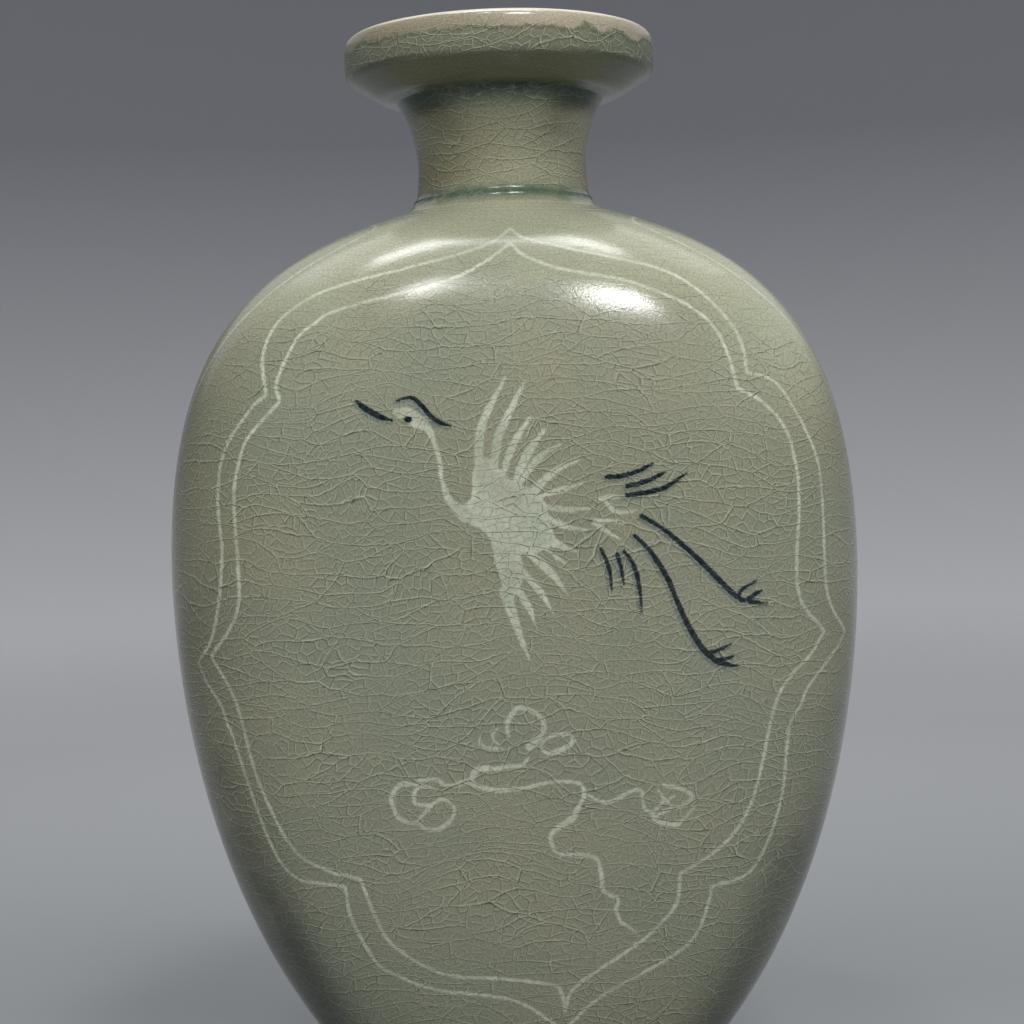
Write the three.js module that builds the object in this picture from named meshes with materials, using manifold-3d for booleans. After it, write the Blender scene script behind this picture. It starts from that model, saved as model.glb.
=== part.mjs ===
// A flattened stoneware vase with a short neck, a dish-shaped mouth and an oval foot ring.
// Its two broad faces carry an ogival frame, a crane and a cloud, and its narrow sides a plain panel.
// All of them are inlaid: slip fills grooves that are cut into the clay.
// Millimetres, +Z up. The vase stands on z = 0, and its broad faces look along -Y and +Y.

import * as THREE from 'three';
import { mergeVertices } from 'three/addons/utils/BufferGeometryUtils.js';
import Module from 'manifold-3d';

const wasm = await Module();
wasm.setup();

// Sizes of the body
const bodyHalfWidth = 73.5;
const bodyHalfDepth = 50;
const bellyHeight = 124;
const shoulderHeight = 201;
const collarRadius = 22.5;
const collarHeight = 3;
const wall = 5;
const floorThickness = 6;
const boreRadius = 13;

// Sizes of the foot ring
const footHeight = 10;
const footTopHalfWidth = 34;
const footTopHalfDepth = 27;
const footFlare = 2.5;
const footWall = 6;
const footEdge = 0.8;

// Sizes of the neck
const neckHeight = 22;
const neckFootRadius = 19.5;
const neckWaistRadius = 18.6;
const neckWaistHeight = 7;
const neckTopRadius = 22.7;
const seatMargin = 0.3;

// Sizes of the mouth
const mouthRadius = 34.2;
const dishRise = 4.7;
const lipHeight = 9.3;
const lipWall = 4;
const dishThickness = 4;

// Profile of the neck between its waist and its top, as a share of the way out and of the neck's height
const neckSwell = { out: 0.3, up: 0.67 };

// Profile of the dish's underside, as shares of the way out and up to the lip
const dishUnderside = [[0, 0], [0.33, 0.18], [0.86, 0.85], [0.96, 1]];

// Profile of the lip: where its outside is upright as a share of its height, then its rounded top as
// shares of its wall inwards and down from the rim
const lipUprightFrom = 0.12;
const lipTop = [[0, 0.3], [0.2, 0.05], [0.5, 0], [0.8, 0.1], [1, 0.4]];

// Profile of the dish's inside: shares of the way out from the bore, and of the lip's height up from
// the dish's floor, then how far up the dish's thickness the bore's edge starts
const dishInside = [[1, 0.35], [0.75, 0.1], [0.12, 0]];
const boreEdge = 0.6;

// Rows of the collar, as shares of its height
const collarRows = [0.35, 0.7, 1];

// Shape of the outline: how long it stays upright at the belly, and how far it swells beyond a
// straight line towards the collar and the foot, each as a share of the way
const upperUpright = 0.565;
const shoulderDrop = 0.143;
const shoulderWidthSwell = 0.755;
const shoulderDepthSwell = 0.69;
const lowerUpright = 0.158;
const footRise = 0.325;
const footWidthSwell = 0.924;
const footDepthSwell = 0.826;

// How square the cross-sections are: 2 is an ellipse, and a larger number has flatter faces
const collarSquareness = 2;
const shoulderSquareness = 3.1;
const bellySquareness = 4;
const lowerSquareness = 3.4;
const footSquareness = 2.4;

// Sizes of the inlay
const inlayDepth = 1;
const inlayClearance = 0.3;
const grooveFloorClearance = 0.5;
const frameLineWidth = 1.1;
const sideLineWidth = 0.9;
const panelSideMargin = 5.6;
const panelTopMargin = 8.7;
const panelBottomMargin = 17.7;
const sidePanelMargin = 22;

// How far the cutters of the grooves stand out of the clay
const cutterReach = 2;

// Facets
const outerColumns = 32;
const innerColumns = 20;
const turnedColumns = 32;
const lowerRows = 6;
const upperRows = 9;
const cavityLowerRows = 5;
const cavityUpperRows = 7;
const frameArcSteps = 4;
const sideArcSteps = 3;
const dotSegments = 4;
const neckRows = 9;

// Heights that follow from the sizes
const seatHeight = shoulderHeight + collarHeight;
const mouthHeight = seatHeight + neckHeight;
const lipBottomHeight = mouthHeight + dishRise;
const rimHeight = lipBottomHeight + lipHeight;

// Vertices closer than this are one, and an offset corner reaches no further than its bluntness allows
const mergeDistance = 1e-4;
const bluntestCorner = 0.5;

// Steps of the search for a height, and the distance over which a slope is taken
const halvings = 40;
const slopeStep = 0.05;

const mix = THREE.MathUtils.lerp;

// Solids

function solidOf(geometry) {
  const bare = geometry.clone();
  bare.deleteAttribute('normal');
  bare.deleteAttribute('uv');
  const merged = mergeVertices(bare, mergeDistance);
  return new wasm.Manifold(new wasm.Mesh({
    numProp: 3,
    vertProperties: Float32Array.from(merged.attributes.position.array),
    triVerts: Uint32Array.from(merged.index.array),
  }));
}

function geometryOf(solid) {
  const { vertProperties, triVerts } = solid.getMesh();
  const geometry = new THREE.BufferGeometry();
  geometry.setAttribute('position', new THREE.BufferAttribute(vertProperties, 3));
  geometry.setIndex(Array.from(triVerts));
  geometry.computeVertexNormals();
  return geometry;
}

const join = (solids) => solids.reduce((whole, next) => whole.add(next));

// A solid through rings that have equally many points. The rings run counter-clockwise seen from
// above and go upwards. A looped one joins its last ring to its first, and any other is capped.
function loft(rings, looped = false) {
  const count = rings[0].length;
  const points = rings.flat();
  const index = [];
  const last = looped ? rings.length : rings.length - 1;
  for (let row = 0; row < last; row++) {
    const low = row * count;
    const high = ((row + 1) % rings.length) * count;
    for (let i = 0; i < count; i++) {
      const next = (i + 1) % count;
      index.push(low + i, low + next, high + next, low + i, high + next, high + i);
    }
  }
  if (!looped) {
    const bottom = points.push(middleOf(rings[0])) - 1;
    const top = points.push(middleOf(rings.at(-1))) - 1;
    const topRow = (rings.length - 1) * count;
    for (let i = 0; i < count; i++) {
      const next = (i + 1) % count;
      index.push(bottom, next, i, top, topRow + i, topRow + next);
    }
  }
  const geometry = new THREE.BufferGeometry().setFromPoints(points);
  geometry.setIndex(index);
  geometry.computeVertexNormals();
  return geometry;
}

function middleOf(points) {
  const sum = points.reduce((total, point) => total.add(point), new THREE.Vector3());
  return sum.divideScalar(points.length);
}

// The body's outline and cross-sections

function ring(halfWidth, halfDepth, squareness, height, columns) {
  const power = 2 / squareness;
  return Array.from({ length: columns }, (_, i) => {
    const angle = (2 * Math.PI * i) / columns;
    const c = Math.cos(angle);
    const s = Math.sin(angle);
    return new THREE.Vector3(
      halfWidth * Math.sign(c) * Math.abs(c) ** power,
      halfDepth * Math.sign(s) * Math.abs(s) ** power,
      height,
    );
  });
}

// Half of the outline, from the belly to one end. Each curve point holds half-width, half-depth and
// height, and the squareness runs along with it.
function halfOutline(end, upright, swell, bend) {
  const belly = new THREE.Vector3(bodyHalfWidth, bodyHalfDepth, bellyHeight);
  const level = mix(belly.z, end.z, upright);
  const turn = new THREE.Vector3(
    mix(end.x, belly.x, swell.width),
    mix(end.y, belly.y, swell.depth),
    mix(end.z, belly.z, swell.height),
  );
  const curve = new THREE.CubicBezierCurve3(belly, belly.clone().setZ(level), turn, end);
  const squareness = new THREE.CubicBezierCurve(
    new THREE.Vector2(bellySquareness, belly.z),
    new THREE.Vector2(bellySquareness, level),
    new THREE.Vector2(bend, turn.z),
    new THREE.Vector2(end.squareness, end.z),
  );
  return { curve, squareness };
}

function collarEnd() {
  const end = new THREE.Vector3(collarRadius, collarRadius, shoulderHeight);
  end.squareness = collarSquareness;
  return end;
}

function footEnd() {
  const end = new THREE.Vector3(footTopHalfWidth, footTopHalfDepth, footHeight);
  end.squareness = footSquareness;
  return end;
}

const upperHalf = halfOutline(
  collarEnd(),
  upperUpright,
  { width: shoulderWidthSwell, depth: shoulderDepthSwell, height: shoulderDrop },
  shoulderSquareness,
);
const lowerHalf = halfOutline(
  footEnd(),
  lowerUpright,
  { width: footWidthSwell, depth: footDepthSwell, height: footRise },
  lowerSquareness,
);

function crossSection(half, share) {
  const { x, y, z } = half.curve.getPoint(share);
  return { halfWidth: x, halfDepth: y, height: z, squareness: half.squareness.getPoint(share).x };
}

// The cross-section at a height, found by halving the curve
function crossSectionAt(height) {
  const half = height > bellyHeight ? upperHalf : lowerHalf;
  const rising = half === upperHalf;
  let low = 0;
  let high = 1;
  for (let i = 0; i < halvings; i++) {
    const middle = (low + high) / 2;
    if (half.curve.getPoint(middle).z < height === rising) low = middle;
    else high = middle;
  }
  return crossSection(half, low);
}

// Rings of the body from foot to collar. An inset draws them in for the cavity.
function bodyRings(rowsBelow, rowsAbove, columns, inset = 0) {
  const shares = (count) => Array.from({ length: count }, (_, i) => (i + 1) / count);
  const sections = [
    ...shares(rowsBelow).reverse().map((share) => crossSection(lowerHalf, share)),
    crossSection(upperHalf, 0),
    ...shares(rowsAbove).map((share) => crossSection(upperHalf, share)),
  ];
  return sections.map(({ halfWidth, halfDepth, squareness, height }) =>
    ring(halfWidth - inset, halfDepth - inset, squareness, height, columns));
}

// A point of the body's surface, and the direction that looks straight out of it

function frontPoint(across, height) {
  const { halfWidth, halfDepth, squareness } = crossSectionAt(height);
  const rest = 1 - Math.abs(across / halfWidth) ** squareness;
  return new THREE.Vector3(across, -halfDepth * rest ** (1 / squareness), height);
}

function rightPoint(across, height) {
  const { halfWidth, halfDepth, squareness } = crossSectionAt(height);
  const rest = 1 - Math.abs(across / halfDepth) ** squareness;
  return new THREE.Vector3(halfWidth * rest ** (1 / squareness), across, height);
}

function outside({ x, y, z }) {
  const { halfWidth, halfDepth, squareness } = crossSectionAt(z);
  return Math.abs(x / halfWidth) ** squareness + Math.abs(y / halfDepth) ** squareness;
}

function outward(point) {
  const slope = (axis) => {
    const ahead = point.clone();
    const behind = point.clone();
    ahead[axis] += slopeStep;
    behind[axis] -= slopeStep;
    return outside(ahead) - outside(behind);
  };
  return new THREE.Vector3(slope('x'), slope('y'), slope('z')).normalize();
}

// Inlay

// A band of slip along a closed line on the surface, with a square section
function band(line, surfacePoint, width, above, below) {
  const points = line.map(({ x, y }) => surfacePoint(x, y));
  const count = points.length;
  const rings = points.map((point, i) => {
    const normal = outward(point);
    const before = point.clone().sub(points[(i + count - 1) % count]).cross(normal).normalize();
    const after = points[(i + 1) % count].clone().sub(point).cross(normal).normalize();
    const side = before.clone().add(after).normalize();
    const reach = width / 2 / Math.max(side.dot(after), bluntestCorner);
    const corner = (across, out) => point.clone()
      .addScaledVector(side, across * reach)
      .addScaledVector(normal, out);
    return [corner(1, -below), corner(-1, -below), corner(-1, above), corner(1, above)];
  });
  return solidOf(loft(rings, true));
}

// A flat outline that follows a line, as wide as its widths say from start to end
function strokeOutline({ line, widths }, grow) {
  const points = line.map(([x, y]) => new THREE.Vector2(x, y));
  const last = points.length - 1;
  const left = [];
  const right = [];
  points.forEach((point, i) => {
    const place = (i / last) * (widths.length - 1);
    const first = Math.min(Math.floor(place), widths.length - 2);
    const half = mix(widths[first], widths[first + 1], place - first) / 2 + grow;
    const along = points[Math.min(i + 1, last)].clone().sub(points[Math.max(i - 1, 0)]).normalize();
    const end = i === 0 ? -grow : i === last ? grow : 0;
    const middle = point.clone().addScaledVector(along, end);
    left.push(new THREE.Vector2(middle.x - along.y * half, middle.y + along.x * half));
    right.push(new THREE.Vector2(middle.x + along.y * half, middle.y - along.x * half));
  });
  return new THREE.Shape([...right, ...left.reverse()]);
}

// A flat outline through corners given counter-clockwise, moved outwards by grow
function areaOutline({ corners }, grow) {
  const points = corners.map(([x, y]) => new THREE.Vector2(x, y));
  const count = points.length;
  return new THREE.Shape(points.map((point, i) => {
    const before = point.clone().sub(points[(i + count - 1) % count]).normalize();
    const after = points[(i + 1) % count].clone().sub(point).normalize();
    const away = new THREE.Vector2(before.y + after.y, -before.x - after.x).normalize();
    const cosine = Math.max(away.x * after.y - away.y * after.x, bluntestCorner);
    return point.clone().addScaledVector(away, grow / cosine);
  }));
}

function dotOutline({ centre, radius }, grow) {
  return new THREE.Shape().absarc(centre[0], centre[1], radius + grow, 0, 2 * Math.PI);
}

function outlineOf(mark, grow) {
  if (mark.line) return strokeOutline(mark, grow);
  if (mark.corners) return areaOutline(mark, grow);
  return dotOutline(mark, grow);
}

// Flat marks joined into one solid from depth 0 to 1
function flatSolid(marks, grow) {
  return join(marks.map((mark) => solidOf(
    new THREE.ExtrudeGeometry(outlineOf(mark, grow), {
      depth: 1,
      bevelEnabled: false,
      curveSegments: dotSegments,
    }),
  )));
}

// Lays a flat solid on the surface, from below to above it
function layOn(surfacePoint, solid, above, below) {
  const geometry = geometryOf(solid);
  const position = geometry.attributes.position;
  for (let i = 0; i < position.count; i++) {
    const point = surfacePoint(position.getX(i), position.getY(i));
    point.addScaledVector(outward(point), mix(-below, above, position.getZ(i)));
    position.setXYZ(i, point.x, point.y, point.z);
  }
  return solidOf(geometry);
}

// The slip is flush with the clay, and its groove is wider, deeper and open to the outside
const grooveBelow = inlayDepth + grooveFloorClearance;

function markInlay(marks, surfacePoint, holes = []) {
  let slip = flatSolid(marks, 0);
  if (holes.length) slip = slip.subtract(flatSolid(holes, inlayClearance));
  return {
    slip: geometryOf(layOn(surfacePoint, slip, 0, inlayDepth)),
    groove: layOn(surfacePoint, flatSolid(marks, inlayClearance), cutterReach, grooveBelow),
  };
}

function lineInlay(line, surfacePoint, width) {
  return {
    slip: geometryOf(band(line, surfacePoint, width, 0, inlayDepth)),
    groove: band(line, surfacePoint, width + 2 * inlayClearance, cutterReach, grooveBelow),
  };
}

// The drawing on the broad faces. Points are millimetres across from the middle and up from the
// ground, and they are stretched to the panel that the body's sizes leave.

// Arcs of the frame, each with its start and two handles. It ends where the next one starts.
const outerFrame = [
  [[0.5, 192.3], [-15.5, 184.5], [-56.5, 190.5]],
  [[-49.4, 160.8], [-69.5, 148.5], [-51.5, 122]],
  [[-65.6, 106.6], [-54.5, 93.5], [-59, 57.5]],
  [[-36.7, 60], [-34, 27], [-8, 44.5]],
  [[7.2, 27.7], [15.5, 40.5], [37.5, 39.5]],
  [[38.1, 57.5], [61.5, 59.5], [45, 90.5]],
  [[67.9, 108.7], [56, 123.5], [72, 155.5]],
  [[48.4, 162.5], [48.5, 188], [18.5, 187.5]],
];
const innerFrame = [
  [[1.8, 188.8], [-12.5, 175.5], [-46, 187]],
  [[-46.6, 159.6], [-66.5, 148], [-46.5, 121.5]],
  [[-62.2, 108], [-51.5, 93.5], [-58, 64.5]],
  [[-33.5, 61.7], [-27, 26.5], [8, 49]],
  [[7.5, 32], [10, 44.5], [33, 45]],
  [[31.9, 60.9], [57, 72], [41.5, 90.5]],
  [[62.8, 109.2], [47.5, 122], [69.5, 146]],
  [[45.8, 159.2], [45.5, 187.5], [18, 179.5]],
];

const drawn = {
  halfWidth: Math.max(...outerFrame.map(([[x]]) => Math.abs(x))),
  bottom: Math.min(...outerFrame.map(([[, y]]) => y)),
  top: Math.max(...outerFrame.map(([[, y]]) => y)),
};
const panelHalfWidth = bodyHalfWidth - panelSideMargin;
const panelBottom = footHeight + panelBottomMargin;
const panelTop = shoulderHeight - panelTopMargin;

function panelPoint(across, height) {
  const share = (height - drawn.bottom) / (drawn.top - drawn.bottom);
  return frontPoint((across * panelHalfWidth) / drawn.halfWidth, mix(panelBottom, panelTop, share));
}

function closedLine(arcs, steps) {
  const corner = ([x, y]) => new THREE.Vector2(x, y);
  return arcs.flatMap(([start, leave, arrive], i) => {
    const next = arcs[(i + 1) % arcs.length][0];
    const curve = new THREE.CubicBezierCurve(...[start, leave, arrive, next].map(corner));
    return curve.getPoints(steps).slice(0, -1);
  });
}

const eye = { centre: [-20.5, 154.8], radius: 0.75 };

// Crane in white slip: head, neck, body, then the wing feathers from the front one round to the last
const crane = [
  { corners: [[-23.6, 156.3], [-21.9, 154.4], [-18.7, 152.6], [-15.7, 152.1], [-16.7, 155], [-20, 157.3]] },
  { line: [[-16.5, 153.3], [-15.2, 149.5], [-14, 142.3], [-9.7, 135]], widths: [1.6, 1, 1, 2.4] },
  { corners: [[-12, 137.1], [-9.5, 133.9], [-5.8, 131.6], [-3.9, 125.4], [-1.5, 117.4], [2, 121.5],
    [2.8, 127], [8.3, 128.2], [7.3, 133.7], [6, 138.5], [0.4, 142.4], [-5, 146], [-7.8, 144.9],
    [-8.6, 139]] },
  { line: [[-6.6, 143.4], [-6, 152], [-0.7, 162.8]], widths: [2, 2, 1] },
  { line: [[-3.7, 143], [-1.8, 152.2], [3.2, 161.7]], widths: [1.8, 2, 0.9] },
  { line: [[-2.1, 142], [0.2, 148.6], [4, 154.4]], widths: [1.2, 1.9, 1.2] },
  { line: [[0, 141], [6.9, 152]], widths: [1.6, 1.4] },
  { line: [[2, 140], [9.9, 148.9]], widths: [1.6, 0.9] },
  { line: [[4.3, 138.5], [8.4, 142.9], [13.6, 145.6]], widths: [1.6, 1.5, 0.7] },
  { line: [[4.5, 137.9], [14.2, 141]], widths: [1.4, 0.9] },
  { line: [[4, 136.3], [15.5, 135.8]], widths: [1.2, 0.8] },
  { line: [[4.5, 134.7], [14.7, 131.3]], widths: [1.4, 0.9] },
  { line: [[4.4, 130.2], [12.6, 127.2]], widths: [2.4, 0.8] },
  { line: [[3, 128.4], [11.3, 124.1]], widths: [1.2, 0.8] },
  { line: [[0, 128], [6.6, 123.9], [10.4, 118.8]], widths: [1.2, 1.9, 0.7] },
  { line: [[-1, 125.4], [7.7, 114.5]], widths: [1.8, 0.9] },
  { line: [[-1.5, 121.9], [3.8, 112.6]], widths: [1.8, 0.8] },
  { line: [[-2, 120.4], [-0.1, 113], [2.4, 105.7]], widths: [2.4, 1.7, 0.6] },
];

const tailStrokes = {
  crane_tail_upper: [
    { line: [[17.7, 137.8], [22.9, 137.7]], widths: [1.1, 0.6] },
    { line: [[17.9, 137.8], [20.4, 135.4], [25, 135.2]], widths: [1, 1, 0.6] },
  ],
  crane_tail_lower: [
    { line: [[16.3, 133.2], [22.3, 132.5]], widths: [1.3, 0.6] },
    { line: [[16.5, 133], [18.9, 131], [21.2, 129.5]], widths: [1.2, 1, 0.6] },
  ],
};

// Crane in black slip: bill, crest, tail plumes and the two legs with their toes
const blackStrokes = {
  crane_bill: [{ line: [[-30.8, 158.8], [-28.5, 156.9], [-24.3, 154.9]], widths: [0.7, 1.2, 0.5] }],
  crane_crest: [
    { line: [[-22.5, 159.4], [-20.1, 160], [-17, 157.6], [-14.6, 155], [-11.7, 153.6]],
      widths: [0.4, 0.9, 0.4] },
  ],
  crane_plume_1: [{ line: [[19, 142], [23, 142.3], [28.4, 144.4]], widths: [0.9, 0.9, 0.5] }],
  crane_plume_2: [{ line: [[23, 140.1], [26.2, 140.6], [30.6, 142.3]], widths: [0.9, 0.9, 0.5] }],
  crane_plume_3: [{ line: [[22.9, 138.2], [29, 138.8], [35.2, 142]], widths: [0.8, 0.9, 0.4] }],
  crane_plume_4: [{ line: [[17.4, 127.7], [18.8, 123.9], [19.3, 119.5]], widths: [0.7, 0.8, 0.4] }],
  crane_plume_5: [{ line: [[20.5, 126.6], [21.7, 120.4]], widths: [0.8, 0.4] }],
  crane_plume_6: [{ line: [[22.1, 127.1], [24.5, 121.8], [25.1, 114.7]], widths: [0.6, 0.9, 0.4] }],
  crane_leg_upper: [
    { line: [[25.7, 134], [30.5, 130.8], [37.7, 124.1], [45.6, 116.4]], widths: [0.6, 1.1, 0.9] },
    { line: [[45, 117], [46.6, 119.3], [48.7, 120.3]], widths: [0.6, 0.5, 0.4] },
    { line: [[45.2, 116.7], [49.6, 118]], widths: [0.9, 0.5] },
    { line: [[45.2, 116.7], [50.8, 115.6]], widths: [0.9, 0.4] },
  ],
  crane_leg_lower: [
    { line: [[24.2, 130.1], [29, 124.1], [34, 112.6], [40.3, 104.1]], widths: [0.6, 1.2, 1] },
    { line: [[38.1, 106], [43.2, 107.7]], widths: [0.8, 0.4] },
    { line: [[39.6, 104.6], [43.6, 105.4]], widths: [1, 0.5] },
    { line: [[39.9, 104.4], [44.6, 103]], widths: [1, 0.4] },
  ],
};

// Cloud in white slip
const cloudStrokes = {
  cloud_scroll: [
    { line: [[-20.6, 81.9], [-15.1, 81], [-10, 81.8], [-8.1, 83.9], [-2.3, 84.3], [1.6, 86]],
      widths: [0.9, 1.4, 1.2, 0.7] },
    { line: [[-10.2, 82], [-5.4, 79.5], [1.5, 80], [7.2, 80.9], [11.6, 80.4], [12.5, 77.5], [10.2, 73.4],
      [6.4, 70.8], [6.2, 66.9], [11.4, 65.6], [14.6, 64.7], [15.8, 58.4], [18.6, 55.8], [19, 51.6],
      [21.8, 49.2]],
      widths: [1.1, 1, 1.4, 1, 0.8] },
    { line: [[-19.7, 81.5], [-24.2, 81.3], [-26.2, 77.1], [-23.3, 73.4], [-19.6, 72.2], [-15.4, 73],
      [-13.7, 76]],
      widths: [1.1, 1.3, 1.1] },
    { line: [[-13.8, 75.4], [-15.4, 77.9], [-18.5, 76.4], [-21.2, 73.4]], widths: [1, 1, 0.9] },
    { line: [[-17.3, 79.9], [-20.6, 80.4], [-21.6, 77.6], [-17.8, 77.1]], widths: [0.9, 1, 0.9] },
  ],
  cloud_curl: [
    { line: [[-2.1, 90.4], [-2.2, 93.8], [0.9, 96.2], [4.7, 93.5], [4.4, 90.4], [1.8, 88.3]],
      widths: [0.9, 1.2, 1.6] },
    { line: [[4.2, 89.4], [7.4, 90.5], [10.9, 89.4]], widths: [1, 0.8] },
    { line: [[3.8, 88], [6.7, 86.9], [10.9, 89.4]], widths: [1, 1.1, 0.8] },
  ],
  cloud_arc_inner: [{ line: [[-4.7, 92], [-5.5, 90.6], [-4.5, 89.4]], widths: [0.8, 0.8, 0.6] }],
  cloud_arc_outer: [{ line: [[-8.1, 90.4], [-7.2, 88.2], [-3.3, 87.8]], widths: [0.8, 0.8, 0.6] }],
  cloud_hook: [
    { line: [[13.9, 77.7], [17.2, 76.3], [21.6, 78.3], [24, 78.5], [24.6, 75.2], [27.2, 72.4], [31.1, 71.4],
      [35, 74.8]],
      widths: [0.7, 1.1, 1, 0.9] },
    { line: [[28.7, 79.4], [34, 77.6], [31.5, 74.9], [26.8, 73]], widths: [0.8, 1.2, 0.9] },
    { line: [[27.5, 78.4], [30.8, 74.9]], widths: [0.8, 0.8] },
  ],
};

// The narrow panel on each side: arcs as above, across along Y. Black dots sit on the shoulder ends.
const sideFrame = [
  [[0, 198.4], [-12, 198.4], [-22, 196.5]],
  [[-24.4, 193.5], [-26.5, 189], [-28.3, 184]],
  [[-28, 176], [-27, 160], [-22, 140]],
  [[-22, 110], [-22, 80], [-18, 52]],
  [[0, 38], [18, 52], [22, 80]],
  [[22, 110], [22, 140], [27, 160]],
  [[28, 176], [28.3, 184], [26.5, 189]],
  [[24.4, 193.5], [22, 196.5], [12, 198.4]],
];
const sideDot = { centre: [-3, 187.5], radius: 0.9 };

const drawnSideHalfWidth = Math.max(...sideFrame.map(([[y]]) => Math.abs(y)));
const sidePanelHalfWidth = bodyHalfDepth - sidePanelMargin;

function sidePoint(across, height) {
  const share = (height - drawn.bottom) / (drawn.top - drawn.bottom);
  return rightPoint((across * sidePanelHalfWidth) / drawnSideHalfWidth, mix(panelBottom, panelTop, share));
}

const white = [];
const black = [];

function inlay(name, list, parts) {
  list.push({ name, ...parts });
}

for (const [name, arcs] of Object.entries({ frame_outer: outerFrame, frame_inner: innerFrame })) {
  inlay(name, white, lineInlay(closedLine(arcs, frameArcSteps), panelPoint, frameLineWidth));
}
inlay('crane', white, markInlay(crane, panelPoint, [eye]));
for (const [name, marks] of Object.entries({ ...tailStrokes, ...cloudStrokes })) {
  inlay(name, white, markInlay(marks, panelPoint));
}
inlay('crane_eye', black, markInlay([eye], panelPoint));
for (const [name, marks] of Object.entries(blackStrokes)) {
  inlay(name, black, markInlay(marks, panelPoint));
}

const sideWhite = {
  name: 'side_line',
  ...lineInlay(closedLine(sideFrame, sideArcSteps), sidePoint, sideLineWidth),
};
const sideBlack = { name: 'side_dot', ...markInlay([sideDot], sidePoint) };

// The vessel

function turnedHalfRound(solid) {
  return solidOf(geometryOf(solid).rotateZ(Math.PI));
}

function bodyGeometry() {
  const seatRadius = neckFootRadius + seatMargin;
  const collar = collarRows.map((share) => {
    const radius = mix(collarRadius, seatRadius, Math.sin((share * Math.PI) / 2));
    return ring(radius, radius, collarSquareness, mix(shoulderHeight, seatHeight, share), outerColumns);
  });
  let body = solidOf(loft([...bodyRings(lowerRows, upperRows, outerColumns), ...collar]));
  body = body.subtract(cavitySolid());
  for (const { groove } of [...white, ...black, sideWhite, sideBlack]) {
    body = body.subtract(groove).subtract(turnedHalfRound(groove));
  }
  return geometryOf(body);
}

// The cavity keeps the wall's thickness from the outside and opens into the bore under the neck
function cavitySolid() {
  const rings = bodyRings(cavityLowerRows, cavityUpperRows, innerColumns, wall);
  const floor = footHeight + floorThickness;
  const ceiling = shoulderHeight - wall;
  const squeeze = (z) => mix(floor, ceiling, (z - footHeight) / (shoulderHeight - footHeight));
  rings.forEach((points) => points.forEach((point) => point.setZ(squeeze(point.z))));
  const bore = (height) => ring(boreRadius, boreRadius, collarSquareness, height, innerColumns);
  return solidOf(loft([...rings.slice(0, -1), bore(ceiling), bore(seatHeight + cutterReach)]));
}

function neckGeometry() {
  const swellRadius = mix(neckWaistRadius, neckTopRadius, neckSwell.out);
  const swellHeight = mix(seatHeight, mouthHeight, neckSwell.up);
  const outline = new THREE.SplineCurve([
    new THREE.Vector2(neckFootRadius, seatHeight),
    new THREE.Vector2(neckWaistRadius, seatHeight + neckWaistHeight),
    new THREE.Vector2(swellRadius, swellHeight),
    new THREE.Vector2(neckTopRadius, mouthHeight),
  ]).getPoints(neckRows);
  return turned([
    new THREE.Vector2(boreRadius, seatHeight),
    ...outline,
    new THREE.Vector2(boreRadius, mouthHeight),
  ]);
}

function mouthGeometry() {
  const lipRadius = mouthRadius - lipWall;
  const dishHeight = mouthHeight + dishThickness;
  const underside = dishUnderside.map(([out, up]) =>
    new THREE.Vector2(mix(neckTopRadius, mouthRadius, out), mix(mouthHeight, lipBottomHeight, up)));
  const top = lipTop.map(([inwards, down]) =>
    new THREE.Vector2(mouthRadius - inwards * lipWall, rimHeight - down * lipWall));
  const inside = dishInside.map(([out, up]) =>
    new THREE.Vector2(mix(boreRadius, lipRadius, out), dishHeight + up * lipHeight));
  return turned([
    new THREE.Vector2(boreRadius, mouthHeight),
    ...underside,
    new THREE.Vector2(mouthRadius, lipBottomHeight + lipUprightFrom * lipHeight),
    ...top,
    ...inside,
    new THREE.Vector2(boreRadius, mix(mouthHeight, dishHeight, boreEdge)),
  ]);
}

// LatheGeometry turns about Y, so the finished piece is tipped up to turn about Z
function turned(profile) {
  const geometry = new THREE.LatheGeometry([...profile, profile[0]], turnedColumns);
  return geometryOf(solidOf(geometry.rotateX(Math.PI / 2)));
}

function footRingGeometry() {
  const at = (outset, height) => ring(
    footTopHalfWidth + outset,
    footTopHalfDepth + outset,
    footSquareness,
    height,
    outerColumns,
  );
  return loft([
    at(-footWall, footHeight),
    at(footFlare - footWall, 0),
    at(footFlare - footEdge, 0),
    at(footFlare, footEdge),
    at(0, footHeight),
  ], true);
}

// Materials

const celadon = () => new THREE.MeshStandardMaterial({ color: 0x8d9080, roughness: 0.2, metalness: 0 });
const whiteSlip = () => new THREE.MeshStandardMaterial({ color: 0xb4b8a6, roughness: 0.3, metalness: 0 });
const blackSlip = () => new THREE.MeshStandardMaterial({ color: 0x1f2727, roughness: 0.3, metalness: 0 });

function piece(name, geometry, material) {
  const mesh = new THREE.Mesh(geometry, material);
  mesh.name = name;
  return mesh;
}

const vase = new THREE.Group();
vase.add(
  piece('body', bodyGeometry(), celadon()),
  piece('foot_ring', footRingGeometry(), celadon()),
  piece('neck', neckGeometry(), celadon()),
  piece('mouth', mouthGeometry(), celadon()),
);

// Both broad faces and both narrow sides carry the same inlay, turned half round
function addPair(inlays, material, [first, second]) {
  for (const { name, slip } of inlays) {
    vase.add(piece(`${first}_${name}`, slip, material()));
    const turnedPiece = piece(`${second}_${name}`, slip, material());
    turnedPiece.rotation.z = Math.PI;
    vase.add(turnedPiece);
  }
}

addPair(white, whiteSlip, ['front', 'back']);
addPair(black, blackSlip, ['front', 'back']);
addPair([sideWhite], whiteSlip, ['right', 'left']);
addPair([sideBlack], blackSlip, ['right', 'left']);

export default vase;
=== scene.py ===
import math

import bpy
import numpy as np
from mathutils import Matrix, Vector


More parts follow.
